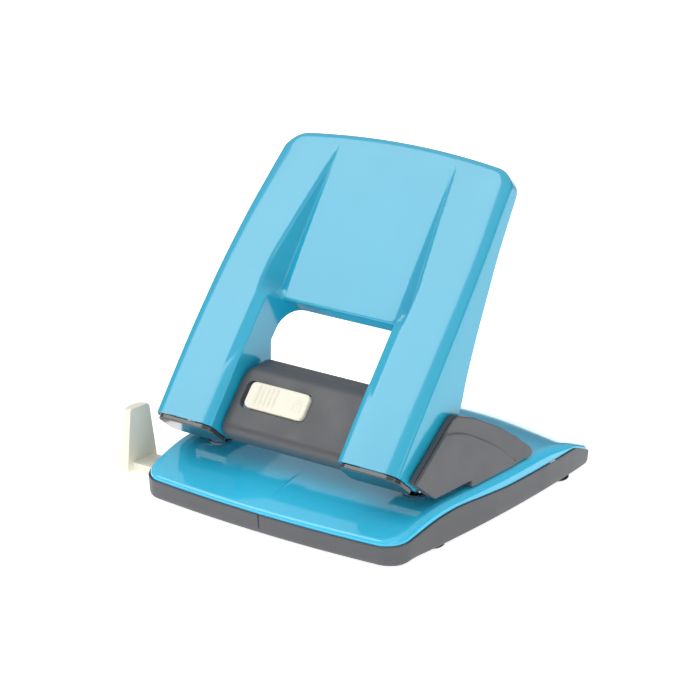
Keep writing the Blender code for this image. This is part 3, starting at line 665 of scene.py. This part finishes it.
def make_deck():
    """Blue skin with its rolled edge, die holes and thickness."""
    bm = bmesh.new()
    depth = lambda x, y: -deck_surface(x, y)
    lift = lambda x, y, down: Vector((x, y, -down))
    rims = []
    for place, normal, y in base_loop():
        place = place - normal * DECK_INSET
        side = smooth(abs(normal.x), 0.25, 0.8)
        radius = DECK_FRONT_ROLL + (DECK_ROLL - DECK_FRONT_ROLL) * side
        inner = place - normal * radius
        height = deck_surface(*inner)
        seam = seam_height(place.x, y) - 0.3
        rims.append(Rim(place, normal, radius, max(height - seam - 0.4, 0.3), -seam))
    outline = inner_outline(rims)
    holes = []
    lines = []
    for _, side in SIDES:
        hole = arc((HOLE_X * side, 0), DIE_HOLE, 0, 360, 0.5)[:-1]
        holes.append([point for point, _ in hole])
        for radius in (5.0, 5.8, 6.6, 7.4):
            ring = [point for point, _ in arc((HOLE_X * side, 0), radius, 0, 360, 0.8)]
            lines.append(ring[:-1] + ring[:1])
    for x in (-MARK_HALF, 0.0, MARK_HALF):
        lines.append([(x, y) for y in steps(-22.0, -5.5, 1.0)])
    chains = sheet(bm, outline, lambda x, y: lift(x, y, depth(x, y)), 1.6, holes, lines)
    strip(bm, chains[0], rim_rows(rims, depth, lift, 8, 1), True)
    for hole in chains[1:]:
        strip(bm, hole, [[vert.co - Vector((0, 0, 0.25)) for vert in hole]], True)
    deck = to_object(bm, "deck_skin", (0, 0, 1))
    thicken(deck, DECK_THICKNESS)
    return finish(deck, DESK, "base", DECK_BLUE, ["deck_cover"])


def base_ring(height, inset):
    """Ring round the base at a height that may vary, moved inwards by an inset."""
    ring = []
    for place, normal, y in base_loop():
        inner = place - normal * inset
        ring.append((inner.x, inner.y, height(place.x, y)))
    return ring


def front_hang(y):
    """How much lower the shell hangs at its front lip than along its sides."""
    return 0.9 * (1 - smooth(y, -24.0, -16.0))


def make_base():
    """Grey shell: underside, outer wall, top edge and inner wall as one band of rings."""
    top = lambda x, y: seam_height(x, y) - 0.2
    bottom = lambda x, y: BASE_BOTTOM - front_hang(y)
    level = lambda t: (lambda x, y: bottom(x, y) + (top(x, y) - bottom(x, y)) * t)
    rings = [base_ring(bottom, 2.6), base_ring(bottom, 1.7)]
    for degrees in (20, 40, 60, 80):
        angle = math.radians(degrees)
        rise = 1.3 * (1 - math.cos(angle))
        rings.append(base_ring(lambda x, y: bottom(x, y) + rise, 1.7 - 1.3 * math.sin(angle)))
    for t in (0.3, 0.45, 0.6, 0.75, 0.88):
        rings.append(base_ring(level(t), 0.38 * (1 - t)))
    rings.append(base_ring(lambda x, y: top(x, y) - 0.35, 0.0))
    rings.append(base_ring(lambda x, y: top(x, y) - 0.1, 0.1))
    rings.append(base_ring(top, 0.3))
    rings.append(base_ring(lambda x, y: top(x, y) - 0.25, 0.5))
    rings.append(base_ring(lambda x, y: top(x, y) - 2.4, 0.75))
    rings.append(base_ring(lambda x, y: top(x, y) - 2.8, BASE_WALL))
    rings.append(base_ring(lambda x, y: BASE_BOTTOM + BASE_WALL, BASE_WALL + 0.6))
    bm = bmesh.new()
    solid_rings(bm, rings)
    bmesh.ops.triangulate(bm, faces=[face for face in bm.faces if len(face.verts) > 4])
    base = to_object(bm, "base_skin")
    window = rounded_box(*TRAY_WINDOW, 4.0)
    tray_window = prism("tray_window", [point for point, _ in window], -4, 6)
    cut(base, tray_window, block("rail_slot", *RAIL_SLOT), block("front_mark", *FRONT_MARK))
    return finish(base, DESK, "base", GREY, ["base_shell"], 40)


def prism(name, outline, low, high):
    """Straight solid on a flat outline."""
    bm = bmesh.new()
    solid_rings(bm, [[(x, y, z) for x, y in outline] for z in (low, high)])
    return to_object(bm, name)


# ---- handle ----

REACH_STATIONS = ((0, 49.2), (30, 49.3), (55, 48.9), (75, 47.9), (90, 46.6), (104, 45.4))
BOW = 2.3
BOW_MIDDLE = 55.0
BOW_REACH = 62.0


def reach(s):
    """Half the handle's width at a height."""
    return averaged(s, REACH_STATIONS, 3)


def bow(s):
    """How far the front of the arms bulges forward at a height."""
    return BOW * max(1 - ((s - BOW_MIDDLE) / BOW_REACH) ** 2, 0.0)


SKIRT_STATIONS = ((0, 11.6), (20, 15.6), (28.5, 18.3), (40, 13.6), (55, 9.6), (78, 5.6), (103, 4.6))


def skirt_depth(s):
    """Depth of the back edge of the handle's side walls at a height."""
    return averaged(s, SKIRT_STATIONS, 2.5)


def creases(s):
    """X of the panel's edge, the valley and the arm's inner ridge at a height."""
    opening = min(max((APEX - s) / (APEX - LIP), 0.0), 1.0)
    ridge = RIDGE_X - 6.2 * max(s - 60.0, 0.0) / (APEX - 60.0)
    return 23.3 - opening, 23.3 + 2.5 * opening, ridge


CREASE_ROUND = (0.45, 0.3, 0.7)


def handle_depth(x, s):
    """Depth of the handle's front skin behind the front plane."""
    opening = min(max((APEX - s) / (APEX - LIP), 0.0), 1.0)
    if opening == 0.0:
        return -bow(s)
    edge, valley, ridge = creases(s)
    above = 1 - (1 - smooth(s, LIP - 2.0, LIP + 5.0)) * smooth(abs(x), 23.0, 25.8)
    floor = BAND_DEPTH + ((VALLEY_SINK + bow(LIP)) * opening - BAND_DEPTH) * above
    panel = floor + ((PANEL_SINK - VALLEY_SINK) * opening) * above
    inner_slope = (floor - panel) / (valley - edge)
    outer_slope = -floor / max(ridge - valley, 0.05)
    x = abs(x)
    depth = panel + inner_slope * ramp(x - edge, CREASE_ROUND[0])
    depth += (outer_slope - inner_slope) * ramp(x - valley, CREASE_ROUND[1])
    depth -= outer_slope * ramp(x - ridge, CREASE_ROUND[2])
    return max(depth, 0.0) - bow(s)


def mirrored(rims):
    """Rims of the other side, ordered to carry the outline on past the middle."""
    out = []
    for place, normal, radius, drop, back in reversed(rims[:-1]):
        if isinstance(back, tuple):
            back = (Vector((-back[0].x, back[0].y)), back[1])
        place = Vector((-place.x, place.y))
        out.append(Rim(place, Vector((-normal.x, normal.y)), radius, drop, back))
    return out


TOP_BACK = 4.4
CORNER_START_DEG = 7


def outer_rims():
    """Rims up the right side, over the top and down the left side of the handle."""
    fall = lambda x: HANDLE_TOP - TOP_FALL * (x / TOP_FALL_X) ** 2
    tilt = math.atan(2 * TOP_FALL * TOP_CORNER_X / TOP_FALL_X ** 2)
    start = Vector((TOP_CORNER_X, fall(TOP_CORNER_X)))
    middle = start - Vector((math.sin(tilt), math.cos(tilt))) * TOP_CORNER
    corner_start = math.radians(CORNER_START_DEG)
    side_end = middle.y + TOP_CORNER * math.sin(corner_start)
    right = []
    for s in steps(0.0, side_end, 1.3)[:-1]:
        turn = reach(s - 0.5) - reach(s + 0.5)
        normal = Vector((1.0, turn)).normalized()
        right.append(Rim(Vector((reach(s), s)), normal, ARM_ROUND, ROUND_DEPTH, skirt_depth(s)))
    shift = Vector((reach(side_end) - middle.x - TOP_CORNER * math.cos(corner_start), 0))
    for point, way in arc(middle, TOP_CORNER, CORNER_START_DEG, 90 - math.degrees(tilt), 0.7):
        t = smooth(way.y, 0.1, 0.95)
        radius = ARM_ROUND + (TOP_ROUND - ARM_ROUND) * t
        back = skirt_depth(side_end) * (1 - t) + TOP_BACK * t
        right.append(Rim(point + shift * (1 - t), way, radius, ROUND_DEPTH, back))
    for x in steps(TOP_CORNER_X, 0.0, 1.3)[1:]:
        lean = 2 * TOP_FALL * x / TOP_FALL_X ** 2
        normal = Vector((lean, 1.0)).normalized()
        right.append(Rim(Vector((x, fall(x))), normal, TOP_ROUND, ROUND_DEPTH, TOP_BACK))
    return right + mirrored(right)


LIP_CORNER = 3.0
BACK_CORNER = 8.0
WALL_STATIONS = ((0, 11.2), (19, 11.2), (27.5, 15.6), (30, 15.6), (36, WALL_BACK), (60, WALL_BACK))


def window_rims():
    """Rims up the left arm's inner wall, along the lip and down the right arm."""
    left = []
    corner_start = LIP - LIP_CORNER
    for s in steps(0.0, corner_start, 1.2)[:-1]:
        open_part = smooth(s, 18.0, 32.0)
        x = ARM_INNER + (WINDOW_X - ARM_INNER) * open_part
        radius = 4.0 + (0.5 - 4.0) * open_part
        drop = 1.3 + (0.5 - 1.3) * open_part
        back_s = s
        if s > 30.0:
            back_s = 30.0 + (s - 30.0) * (LIP - BACK_CORNER - 30.0) / (corner_start - 30.0)
        back = (Vector((-x, back_s)), between(back_s, WALL_STATIONS))
        left.append(Rim(Vector((-x, s)), Vector((1.0, 0.0)), radius, drop, back))
    front = (-WINDOW_X + LIP_CORNER, LIP - LIP_CORNER)
    rear = (-WINDOW_X + BACK_CORNER, LIP - BACK_CORNER)
    for degrees in steps(180, 90, 10):
        way = Vector((math.cos(math.radians(degrees)), math.sin(math.radians(degrees))))
        place = Vector(front) + way * LIP_CORNER
        back = (Vector(rear) + way * BACK_CORNER, WALL_BACK)
        radius = 0.5 + 0.4 * (180 - degrees) / 90
        left.append(Rim(place, -way, radius, None, back))
    for x in steps(front[0], 0.0, 1.2)[1:]:
        back_x = rear[0] * x / front[0]
        back = (Vector((back_x, LIP)), WALL_BACK)
        left.append(Rim(Vector((x, LIP)), Vector((0.0, -1.0)), 0.9, None, back))
    return left + mirrored(left)


def crease_polylines(outline):
    """Lines each side of every crease and along it, kept inside the outline."""
    lines = []
    loop = np.array([tuple(point) for point in outline])
    for side in (-1, 1):
        for which, width in enumerate(CREASE_ROUND):
            for shift in (-width, 0.0, width):
                heights = steps(16.0, APEX - 0.8, 1.3)
                line = [((creases(s)[which] + shift) * side, s) for s in heights]
                within = inside(np.array(line), outline)
                gap = [
                    np.min(np.sum((loop - point) ** 2, axis=1)) > 0.1 for point in np.array(line)
                ]
                line = [point for point, ok, far in zip(line, within, gap) if ok and far]
                if len(line) > 1:
                    lines.append(line)
    return lines


def make_handle():
    """Blue handle: front skin, rounded outer edge and window wall, then its thickness."""
    bm = bmesh.new()
    lift = lambda x, s, depth: Vector((x, depth, s))
    outer = outer_rims()
    window = window_rims()
    outline = inner_outline(outer + window)
    arm_span = steps(outline[len(outer) - 1].x, outline[len(outer)].x, 1.2)[1:-1]
    left_end = [Vector((x, 0.0)) for x in arm_span]
    right_end = [Vector((-x, 0.0)) for x in reversed(arm_span)]
    count = len(outer)
    loop = outline[:count] + left_end + outline[count:] + right_end
    chain = sheet(
        bm, loop, lambda x, s: lift(x, s, handle_depth(x, s)), 1.7, (), crease_polylines(loop)
    )[0]
    strip(bm, chain[:count], rim_rows(outer, handle_depth, lift, 7, 4), False)
    start = count + len(left_end)
    inner = chain[start:start + len(window)]
    strip(bm, inner, rim_rows(window, handle_depth, lift, 5, 4), False)
    handle = to_object(bm, "handle_skin", (0, -1, 0))
    thicken(handle, SKIN)
    return finish(handle, HANDLE, "handle", BLUE, ["handle_shell"], 60)


CAP_CORNERS = ((25.4, 0.15, 4.2), (49.1, 0.15, 4.2), (49.1, 11.4, 2.4), (25.4, 11.4, 2.4))
CAP_FACE = -1.7


def make_arm_cap(word, side):
    """Dark glossy plug over the end of an arm."""
    loop = rounded_polygon(CAP_CORNERS, 0.6)
    rims = [Rim(point, way, 0.35, None, 1.4) for point, way in loop]
    outline = inner_outline(rims)
    bm = bmesh.new()
    lift = lambda x, depth, s: Vector((x * side, depth, CAP_FACE + s))
    flat = lambda x, depth: 0.0
    chain = sheet(bm, outline, lambda x, depth: lift(x, depth, 0.0), 1.6)[0]
    last = strip(bm, chain, rim_rows(rims, flat, lift, 3, 1), True)
    bm.faces.new(last)
    cap = to_object(bm, "arm_cap_skin_" + word)
    return finish(cap, HANDLE, "handle", BLACK, ["arm_cap_" + word])


PANEL_HALF = 24.7
PANEL_CORNER = 3.0
PANEL_TOP = 23.6
PANEL_SLOT = ((-22.0, 9.7), (4.8, 19.3))


def make_front_panel():
    """Grey bridge between the arms: flat face, rounded top corners and a shelf behind."""
    rings = []
    ends = [PANEL_CORNER * (1 - math.cos(math.radians(a))) for a in steps(0, 90, 11.25)]
    stations = [-PANEL_HALF + e for e in ends]
    stations += steps(-PANEL_HALF + PANEL_CORNER, PANEL_HALF - PANEL_CORNER, 4.0)[1:-1]
    stations += [PANEL_HALF - e for e in reversed(ends)]
    for x in stations:
        over = max(PANEL_CORNER - (PANEL_HALF - abs(x)), 0.0)
        fall = PANEL_CORNER - math.sqrt(max(PANEL_CORNER ** 2 - over * over, 0.0))
        top = PANEL_TOP - fall
        section = [
            (12.0, 0.3), (12.0, 1.2), (12.0, 2.6), (6.2, 2.8), (6.2, top - 1.4), (7.0, top - 0.4),
            (11.4, 27.2 - fall * 0.3), (11.4, 29.4 - fall * 0.3), (10.7, 29.5 - fall * 0.4),
            (7.6, 26.75 - fall * 0.7), (7.0, 26.15 - fall * 0.8), (6.8, 25.75 - fall * 0.8),
            (6.2, 25.35 - fall), (5.4, 24.75 - fall), (4.7, 24.0 - fall), (4.25, 23.2 - fall),
            (4.03, 22.3 - fall), (4.0, 21.2 - fall), (4.0, 12.0), (4.0, 4.0), (4.15, 2.9),
            (4.6, 1.9), (5.3, 1.05), (6.2, 0.55), (7.4, 0.3), (9.5, 0.25),
        ]
        rings.append([(x, depth, s) for depth, s in section])
    bm = bmesh.new()
    solid_rings(bm, rings)
    panel = to_object(bm, "front_panel_skin")
    slot = rounded_box(*PANEL_SLOT, 2.2, 0.5)
    cutter = prism("slot", [(point.x, point.y) for point, _ in slot], -8.0, 0.0)
    cutter.data.transform(Matrix.Rotation(math.pi / 2, 4, "X"))
    cut(panel, cutter)
    soften(panel, 0.25, 2, 50)
    return finish(panel, HANDLE, "handle", GREY, ["front_panel"], 40)


def padlock(x, s):
    """Height of a plain raised padlock sign, drawn round its own middle."""
    body = max(abs(x) - 1.45, abs(s + 0.9) - 1.15)
    shackle = abs(math.hypot(x, max(s - 0.7, 0.0)) - 1.0) - 0.28 if s > 0.2 else 9.0
    edge = min(abs(body) - 0.22, shackle)
    keyhole = math.hypot(x, s + 0.8) - 0.35
    return 0.2 * (1 - smooth(min(edge, keyhole), -0.12, 0.12))


BUTTON_LOW = (-19.6, 10.0)
BUTTON_HIGH = (4.4, 19.0)
BUTTON_FACE = 2.9
RIBS = [-15.3 + 1.8 * i for i in range(5)]


def button_depth(x, s):
    """Depth of the slider's face: shallow crown, finger ribs and the padlock sign."""
    middle = (BUTTON_LOW[0] + BUTTON_HIGH[0]) / 2
    height = 0.25 * (1 - ((x - middle) / 12.0) ** 2)
    along = smooth(s, 10.9, 11.5) * (1 - smooth(s, 17.5, 18.1))
    for rib in RIBS:
        height += 0.36 * along * (1 - smooth(abs(x - rib), 0.05, 0.5))
    height += padlock(x - 0.9, s - 14.5)
    return -height


def make_button():
    """Ivory slider with its crowned face, ribs and sign."""
    loop = rounded_box(BUTTON_LOW, BUTTON_HIGH, 2.0, 0.4)
    rims = [Rim(point, way, 0.5, None, 3.4) for point, way in loop]
    outline = inner_outline(rims)
    lines = []
    for rib in RIBS:
        for shift in (-0.5, -0.25, 0.0, 0.25, 0.5):
            lines.append([(rib + shift, s) for s in steps(10.8, 18.2, 0.5)])
    bm = bmesh.new()
    lift = lambda x, s, depth: Vector((x, BUTTON_FACE + depth, s))
    chain = sheet(bm, outline, lambda x, s: lift(x, s, button_depth(x, s)), 0.3, (), lines)[0]
    last = strip(bm, chain, rim_rows(rims, button_depth, lift, 4, 2), True)
    bm.faces.new(last)
    button = to_object(bm, "slider_skin")
    return finish(button, HANDLE, "lock", IVORY, ["lock_button"])


# ---- towers ----

COVER_CORNERS = (
    (-17.6, 26.2, 0.8), (-7.2, 18.3, 0.5), (12.4, 18.3, 0.3), (12.4, 15.9, 0.5), (49.4, 15.9, 1.2),
    (46.6, 19.4, 6.0), (38.6, 25.2, 20.0), (27.6, 32.0, 30.0), (14.6, 38.6, 20.0), (3.6, 42.6, 5.0),
)
COVER_FACE = 53.0
ARC_STATIONS = (
    (-3.0, 38.0), (1.4, 37.5), (8.0, 35.6), (15.2, 32.0), (22.5, 28.0), (29.5, 23.6),
    (35.0, 19.2), (39.6, 15.0),
)


def fan_edge(y):
    """Height of the fan's arc at a place along the cover."""
    return averaged(y, ARC_STATIONS, 1.5)


def cover_depth(y, z):
    """Depth of the cover's outer face: the fan inside the arc stands proud of its border."""
    line = fan_edge(y)
    return 0.45 * smooth(z, line - 0.45, line + 0.45)


def make_tower_cover(word, side):
    """Grey cover with its proud fan, stepped in behind the face."""
    loop = rounded_polygon(COVER_CORNERS, 0.8)
    rims = [Rim(point, way, 0.45, None, 0.95) for point, way in loop]
    outline = inner_outline(rims)
    lines = []
    for shift in (-0.5, -0.25, 0.0, 0.25, 0.5):
        line = [(y, fan_edge(y) + shift) for y in steps(-1.0, 38.0, 0.8)]
        within = inside(np.array(line), [tuple(point) for point in outline])
        line = [point for point, ok in zip(line, within) if ok]
        lines.append(line[1:-1])
    bm = bmesh.new()
    lift = lambda y, z, depth: Vector(((COVER_FACE - depth) * side, y, z))
    chain = sheet(bm, outline, lambda y, z: lift(y, z, cover_depth(y, z)), 1.4, (), lines)[0]
    last = strip(bm, chain, rim_rows(rims, cover_depth, lift, 4, 1), True)
    for inset, depth in ((0.4, 0.95), (0.4, 1.3), (0.0, 1.3), (0.0, 3.1), (0.3, 3.4)):
        row = [lift(*(rim.place - rim.normal * inset), depth) for rim in rims]
        last = strip(bm, last, [row], True)
    bm.faces.new(last)
    cover = to_object(bm, "tower_skin_" + word)
    return finish(cover, DESK, "base", GREY, ["tower_cover_" + word], 40)


# ---- paper guide ----

GUIDE_FACE = -62.0
STOP_BOTTOM = 4.0
STOP_HEIGHT = 22.0
RAIL_HEIGHTS = (4.2, 7.4)


def make_paper_guide():
    """Ivory rail with its upright stop: flat towards the sheet, bowed on the outside."""
    bm = bmesh.new()
    rings = []
    heights = [3.9 + 0.25 * k for k in range(4)] + steps(5.0, 25.0, 1.0)
    heights += [25.4, 25.75, 25.95, 26.0]
    for z in heights:
        t = max(z - STOP_BOTTOM, 0.0) / STOP_HEIGHT
        low = -22.3 + 2.1 * t
        high = -7.0 - 3.8 * t
        swell = 8.0 * (1 - 0.45 * t ** 1.5)
        shrink = 0.6 * (1 - smooth(z, 3.8, 4.7)) + 0.7 * smooth(z, 25.2, 26.0) ** 2
        face = GUIDE_FACE - shrink * 0.3
        ring = [(face, low + shrink), (face, high - shrink)]
        middle = (low + high) / 2
        half = (high - low) / 2 - shrink
        for degrees in steps(86, -86, 8):
            angle = math.radians(degrees)
            curve = math.cos(angle) ** 0.55
            x = -62.4 - (swell - 0.4 - shrink) * curve
            ring.append((x, middle + half * math.sin(angle)))
        rings.append([(x, y, z) for x, y in ring])
    solid_rings(bm, rings)
    bmesh.ops.recalc_face_normals(bm, faces=bm.faces[:])
    stop = to_object(bm, "guide_stop")
    bm = bmesh.new()
    corners = ((-64.0, -19.5, 0.5), (47.0, -19.5, 1.5), (47.0, -9.0, 1.5), (-64.0, -9.0, 0.5))
    outline = [point for point, _ in rounded_polygon(corners, 3.0)]
    solid_rings(bm, [[(x, y, z) for x, y in outline] for z in RAIL_HEIGHTS])
    rail = to_object(bm, "guide_skin")
    join = rail.modifiers.new("Join", "BOOLEAN")
    join.operation = "UNION"
    join.solver = "EXACT"
    join.object = stop
    bake(rail)
    bpy.data.objects.remove(stop, do_unlink=True)
    soften(rail, 0.35, 3, 50)
    return finish(rail, DESK, "guide", IVORY, ["paper_guide"], 45)


# ---- steel and feet ----

def round_profile(profile, size=0.15):
    """Profile with each inner corner cut back twice, so that it catches the light."""
    points = [Vector(point) for point in profile]
    out = [points[0]]
    for before, here, after in zip(points, points[1:], points[2:]):
        back = min(size, (here - before).length * 0.4)
        ahead = min(size, (after - here).length * 0.4)
        first = here + (before - here).normalized() * back
        last = here + (after - here).normalized() * ahead
        out += [first, (first + last + here * 2) / 4, last]
    return [tuple(point) for point in out + [points[-1]]]


def make_die(word, side):
    """Ring that the pin enters, with its bore left open."""
    profile = [(2.9, 9.2), (5.0, 9.2), (5.0, 13.1), (5.9, 13.1), (5.9, 13.8), (3.8, 13.8)]
    profile += [(3.8, 15.15), (3.1, 15.15), (2.9, 14.9)]
    die = turned("die_skin_" + word, profile, (HOLE_X * side, 0, 0))
    return finish(die, DESK, "base", TOOL_STEEL, ["die_" + word], 30)


PIN_EDGE = 18.95


def make_pin(word, side):
    """Punch pin with its hollowed cutting end and its head."""
    profile = [(0, PIN_EDGE + 0.9), (1.2, 19.6), (2.7, PIN_EDGE), (2.75, 19.1), (2.75, 31.3)]
    profile += [(3.9, 31.3), (3.9, 32.0), (3.5, 32.4), (0, 32.4)]
    pin = turned("punch_skin_" + word, round_profile(profile, 0.12), (HOLE_X * side, 0, 0))
    return finish(pin, DESK, "punch_" + word, TOOL_STEEL, ["punch_pin_" + word], 30)


SCREW_PLACES = (("front", 18.5), ("rear", 28.0))


def make_screw(word, place, side, y):
    """Screw that holds a bracket, with a dimpled head."""
    profile = [(0, 10.6), (1.4, 10.6), (1.4, 17.6), (2.8, 17.6), (2.8, 18.2), (1.9, 18.95)]
    profile += [(0.9, 19.15), (0.85, 18.5), (0, 18.4)]
    name = "bracket_screw_skin_" + place + "_" + word
    screw = turned(name, round_profile(profile, 0.1), (HOLE_X * side, y, 0))
    node = "bracket_screw_" + place + "_" + word
    return finish(screw, DESK, "base", SCREW_STEEL, [node], 30)


def make_spring(word, side):
    """Coil round the pin between the guide plate and the pin's head."""
    turns, wire, coil, low, high = 5.5, 0.35, 3.4, 21.75, 30.75
    bm = bmesh.new()
    rings = []
    count = int(turns * 36)
    for i in range(count + 1):
        t = i / count
        angle = 2 * math.pi * turns * t
        out = Vector((math.cos(angle), math.sin(angle), 0))
        flat = smooth(t, 0.0, 0.16) * (1 - smooth(t, 0.84, 1.0))
        rise = low + (high - low) * (0.5 + (t - 0.5) * (0.86 + 0.14 * flat))
        middle = Vector((HOLE_X * side, 0, rise)) + out * coil
        ring = []
        for k in range(10):
            turn = 2 * math.pi * k / 10
            up = Vector((0, 0, wire * math.sin(turn)))
            ring.append(middle + out * wire * math.cos(turn) + up)
        rings.append(ring)
    solid_rings(bm, rings)
    spring = to_object(bm, "spring_skin_" + word)
    node = "return_spring_" + word
    finish(spring, DESK, "base", SPRING_STEEL, [node], 60)
    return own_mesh(spring)


FOOT_X = 47.5
FOOT_PLACES = (("front", -2.0), ("rear", 70.0))


def make_foot(word, place, side, y):
    """Rubber foot with a dished sole."""
    profile = [(0, 1.2), (4.1, 1.2), (4.5, 0.95), (4.45, 0.5), (4.1, 0.1), (3.7, 0.0)]
    profile += [(1.6, 0.0), (1.4, 0.25), (0, 0.3)]
    name = "foot_skin_" + place + "_" + word
    foot = turned(name, round_profile(profile, 0.15), (FOOT_X * side, y, 0))
    node = "foot_" + place + "_" + word
    return finish(foot, DESK, "base", RUBBER, [node], 30)


AXLE_ENDS = (31.6, 47.0)
AXLE_RADIUS = 2.0


def make_axle(word, side):
    """Axle between a tower's cover and its bracket."""
    low, high = sorted(end * side for end in AXLE_ENDS)
    profile = [(0, low), (AXLE_RADIUS, low), (AXLE_RADIUS, high), (0, high)]
    axle = turned("hinge_axle_skin_" + word, round_profile(profile, 0.3), (0, AXLE_Y, AXLE_Z), "x")
    return finish(axle, DESK, "base", STEEL, ["hinge_axle_" + word], 30)


def dress_nodes(names, material, bevel=0.12):
    """Carried-over CAD nodes: finish, and edges broken as a press or mould leaves them."""
    for name in names:
        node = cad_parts[name]
        for slot in node.material_slots:
            slot.link = "OBJECT"
            slot.material = material
        edge = node.modifiers.new("Edge", "BEVEL")
        edge.width = bevel * MM
        edge.segments = 2
        edge.limit_method = "ANGLE"
        edge.angle_limit = math.radians(50)


# ---- studio ----

def make_floor():
    bm = bmesh.new()
    bmesh.ops.create_grid(bm, x_segments=1, y_segments=1, size=3.0)
    floor = to_object(bm, "floor")
    nodes = Nodes("floor_white")
    nodes.colour(nodes.noise(60.0), (0.9, 0.9, 0.9), (0.93, 0.93, 0.93))
    nodes.set(Roughness=0.8, Emission_Color=(1, 1, 1, 1), Emission_Strength=0.8)
    floor.data.materials.append(nodes.material)


def area_light(name, place, target, size, power, colour=(1, 1, 1)):
    light = bpy.data.lights.new(name, "AREA")
    light.shape = "RECTANGLE"
    light.size, light.size_y = size
    light.energy = power
    light.color = colour
    obj = bpy.data.objects.new(name, light)
    obj.location = place
    obj.rotation_euler = (Vector(target) - Vector(place)).to_track_quat("-Z", "Y").to_euler()
    bpy.context.scene.collection.objects.link(obj)


def make_world():
    """White studio: bright above and dimmer near the horizon."""
    world = bpy.data.worlds.new("studio")
    world.use_nodes = True
    tree = world.node_tree
    back = tree.nodes["Background"]
    coords = tree.nodes.new("ShaderNodeTexCoord")
    split = tree.nodes.new("ShaderNodeSeparateXYZ")
    level = tree.nodes.new("ShaderNodeMapRange")
    set_range(level, 0.0, 0.9, 0.05, 0.95)
    tree.links.new(coords.outputs["Generated"], split.inputs["Vector"])
    tree.links.new(split.outputs["Z"], level.inputs["Value"])
    tree.links.new(level.outputs["Result"], back.inputs["Strength"])
    back.inputs["Color"].default_value = (1, 1, 1, 1)
    bpy.context.scene.world = world


def make_camera():
    target = Vector((0.0077, -0.01047, 0.04941))
    azimuth, elevation, distance = math.radians(37.27), math.radians(18.78), 0.85091
    away = Vector((
        math.sin(azimuth) * math.cos(elevation),
        -math.cos(azimuth) * math.cos(elevation),
        math.sin(elevation),
    ))
    data = bpy.data.cameras.new("camera")
    data.lens = 134.38
    data.sensor_width = 36.0
    camera = bpy.data.objects.new("camera", data)
    camera.location = target + away * distance
    camera.rotation_euler = (-away).to_track_quat("-Z", "Y").to_euler()
    bpy.context.scene.collection.objects.link(camera)
    bpy.context.scene.camera = camera


def make_studio():
    make_floor()
    make_world()
    middle = (0.0, 0.0, 0.05)
    area_light("key", (-0.76, -0.6, 0.95), middle, (0.6, 0.9), 4.6)
    area_light("fill", (0.9, -0.9, 0.6), middle, (0.7, 0.7), 1.8)
    make_camera()
    bpy.context.scene.view_settings.view_transform = "Standard"


# ---- build ----

make_studio()
make_deck()
make_base()
make_handle()
make_front_panel()
make_button()
make_paper_guide()
for word, side in SIDES:
    make_arm_cap(word, side)
    make_tower_cover(word, side)
    make_die(word, side)
    make_pin(word, side)
    make_spring(word, side)
    make_axle(word, side)
    for place, y in SCREW_PLACES:
        make_screw(word, place, side, y)
    for place, y in FOOT_PLACES:
        make_foot(word, place, side, y)

dress_nodes(["chassis_plate", "tower_bracket_left", "tower_bracket_right"], STEEL)
dress_nodes(["lever_left", "lever_right", "lock_bolt", "tray_hinge_pin"], STEEL)
dress_nodes(["guide_spring", "lock_spring"], SPRING_STEEL, 0.05)
dress_nodes(["axle_clip_left", "axle_clip_right"], SCREW_STEEL)
dress_nodes(["lever_screw_left", "lever_screw_right"], SCREW_STEEL)
dress_nodes(["chip_tray"], GREY, 0.3)
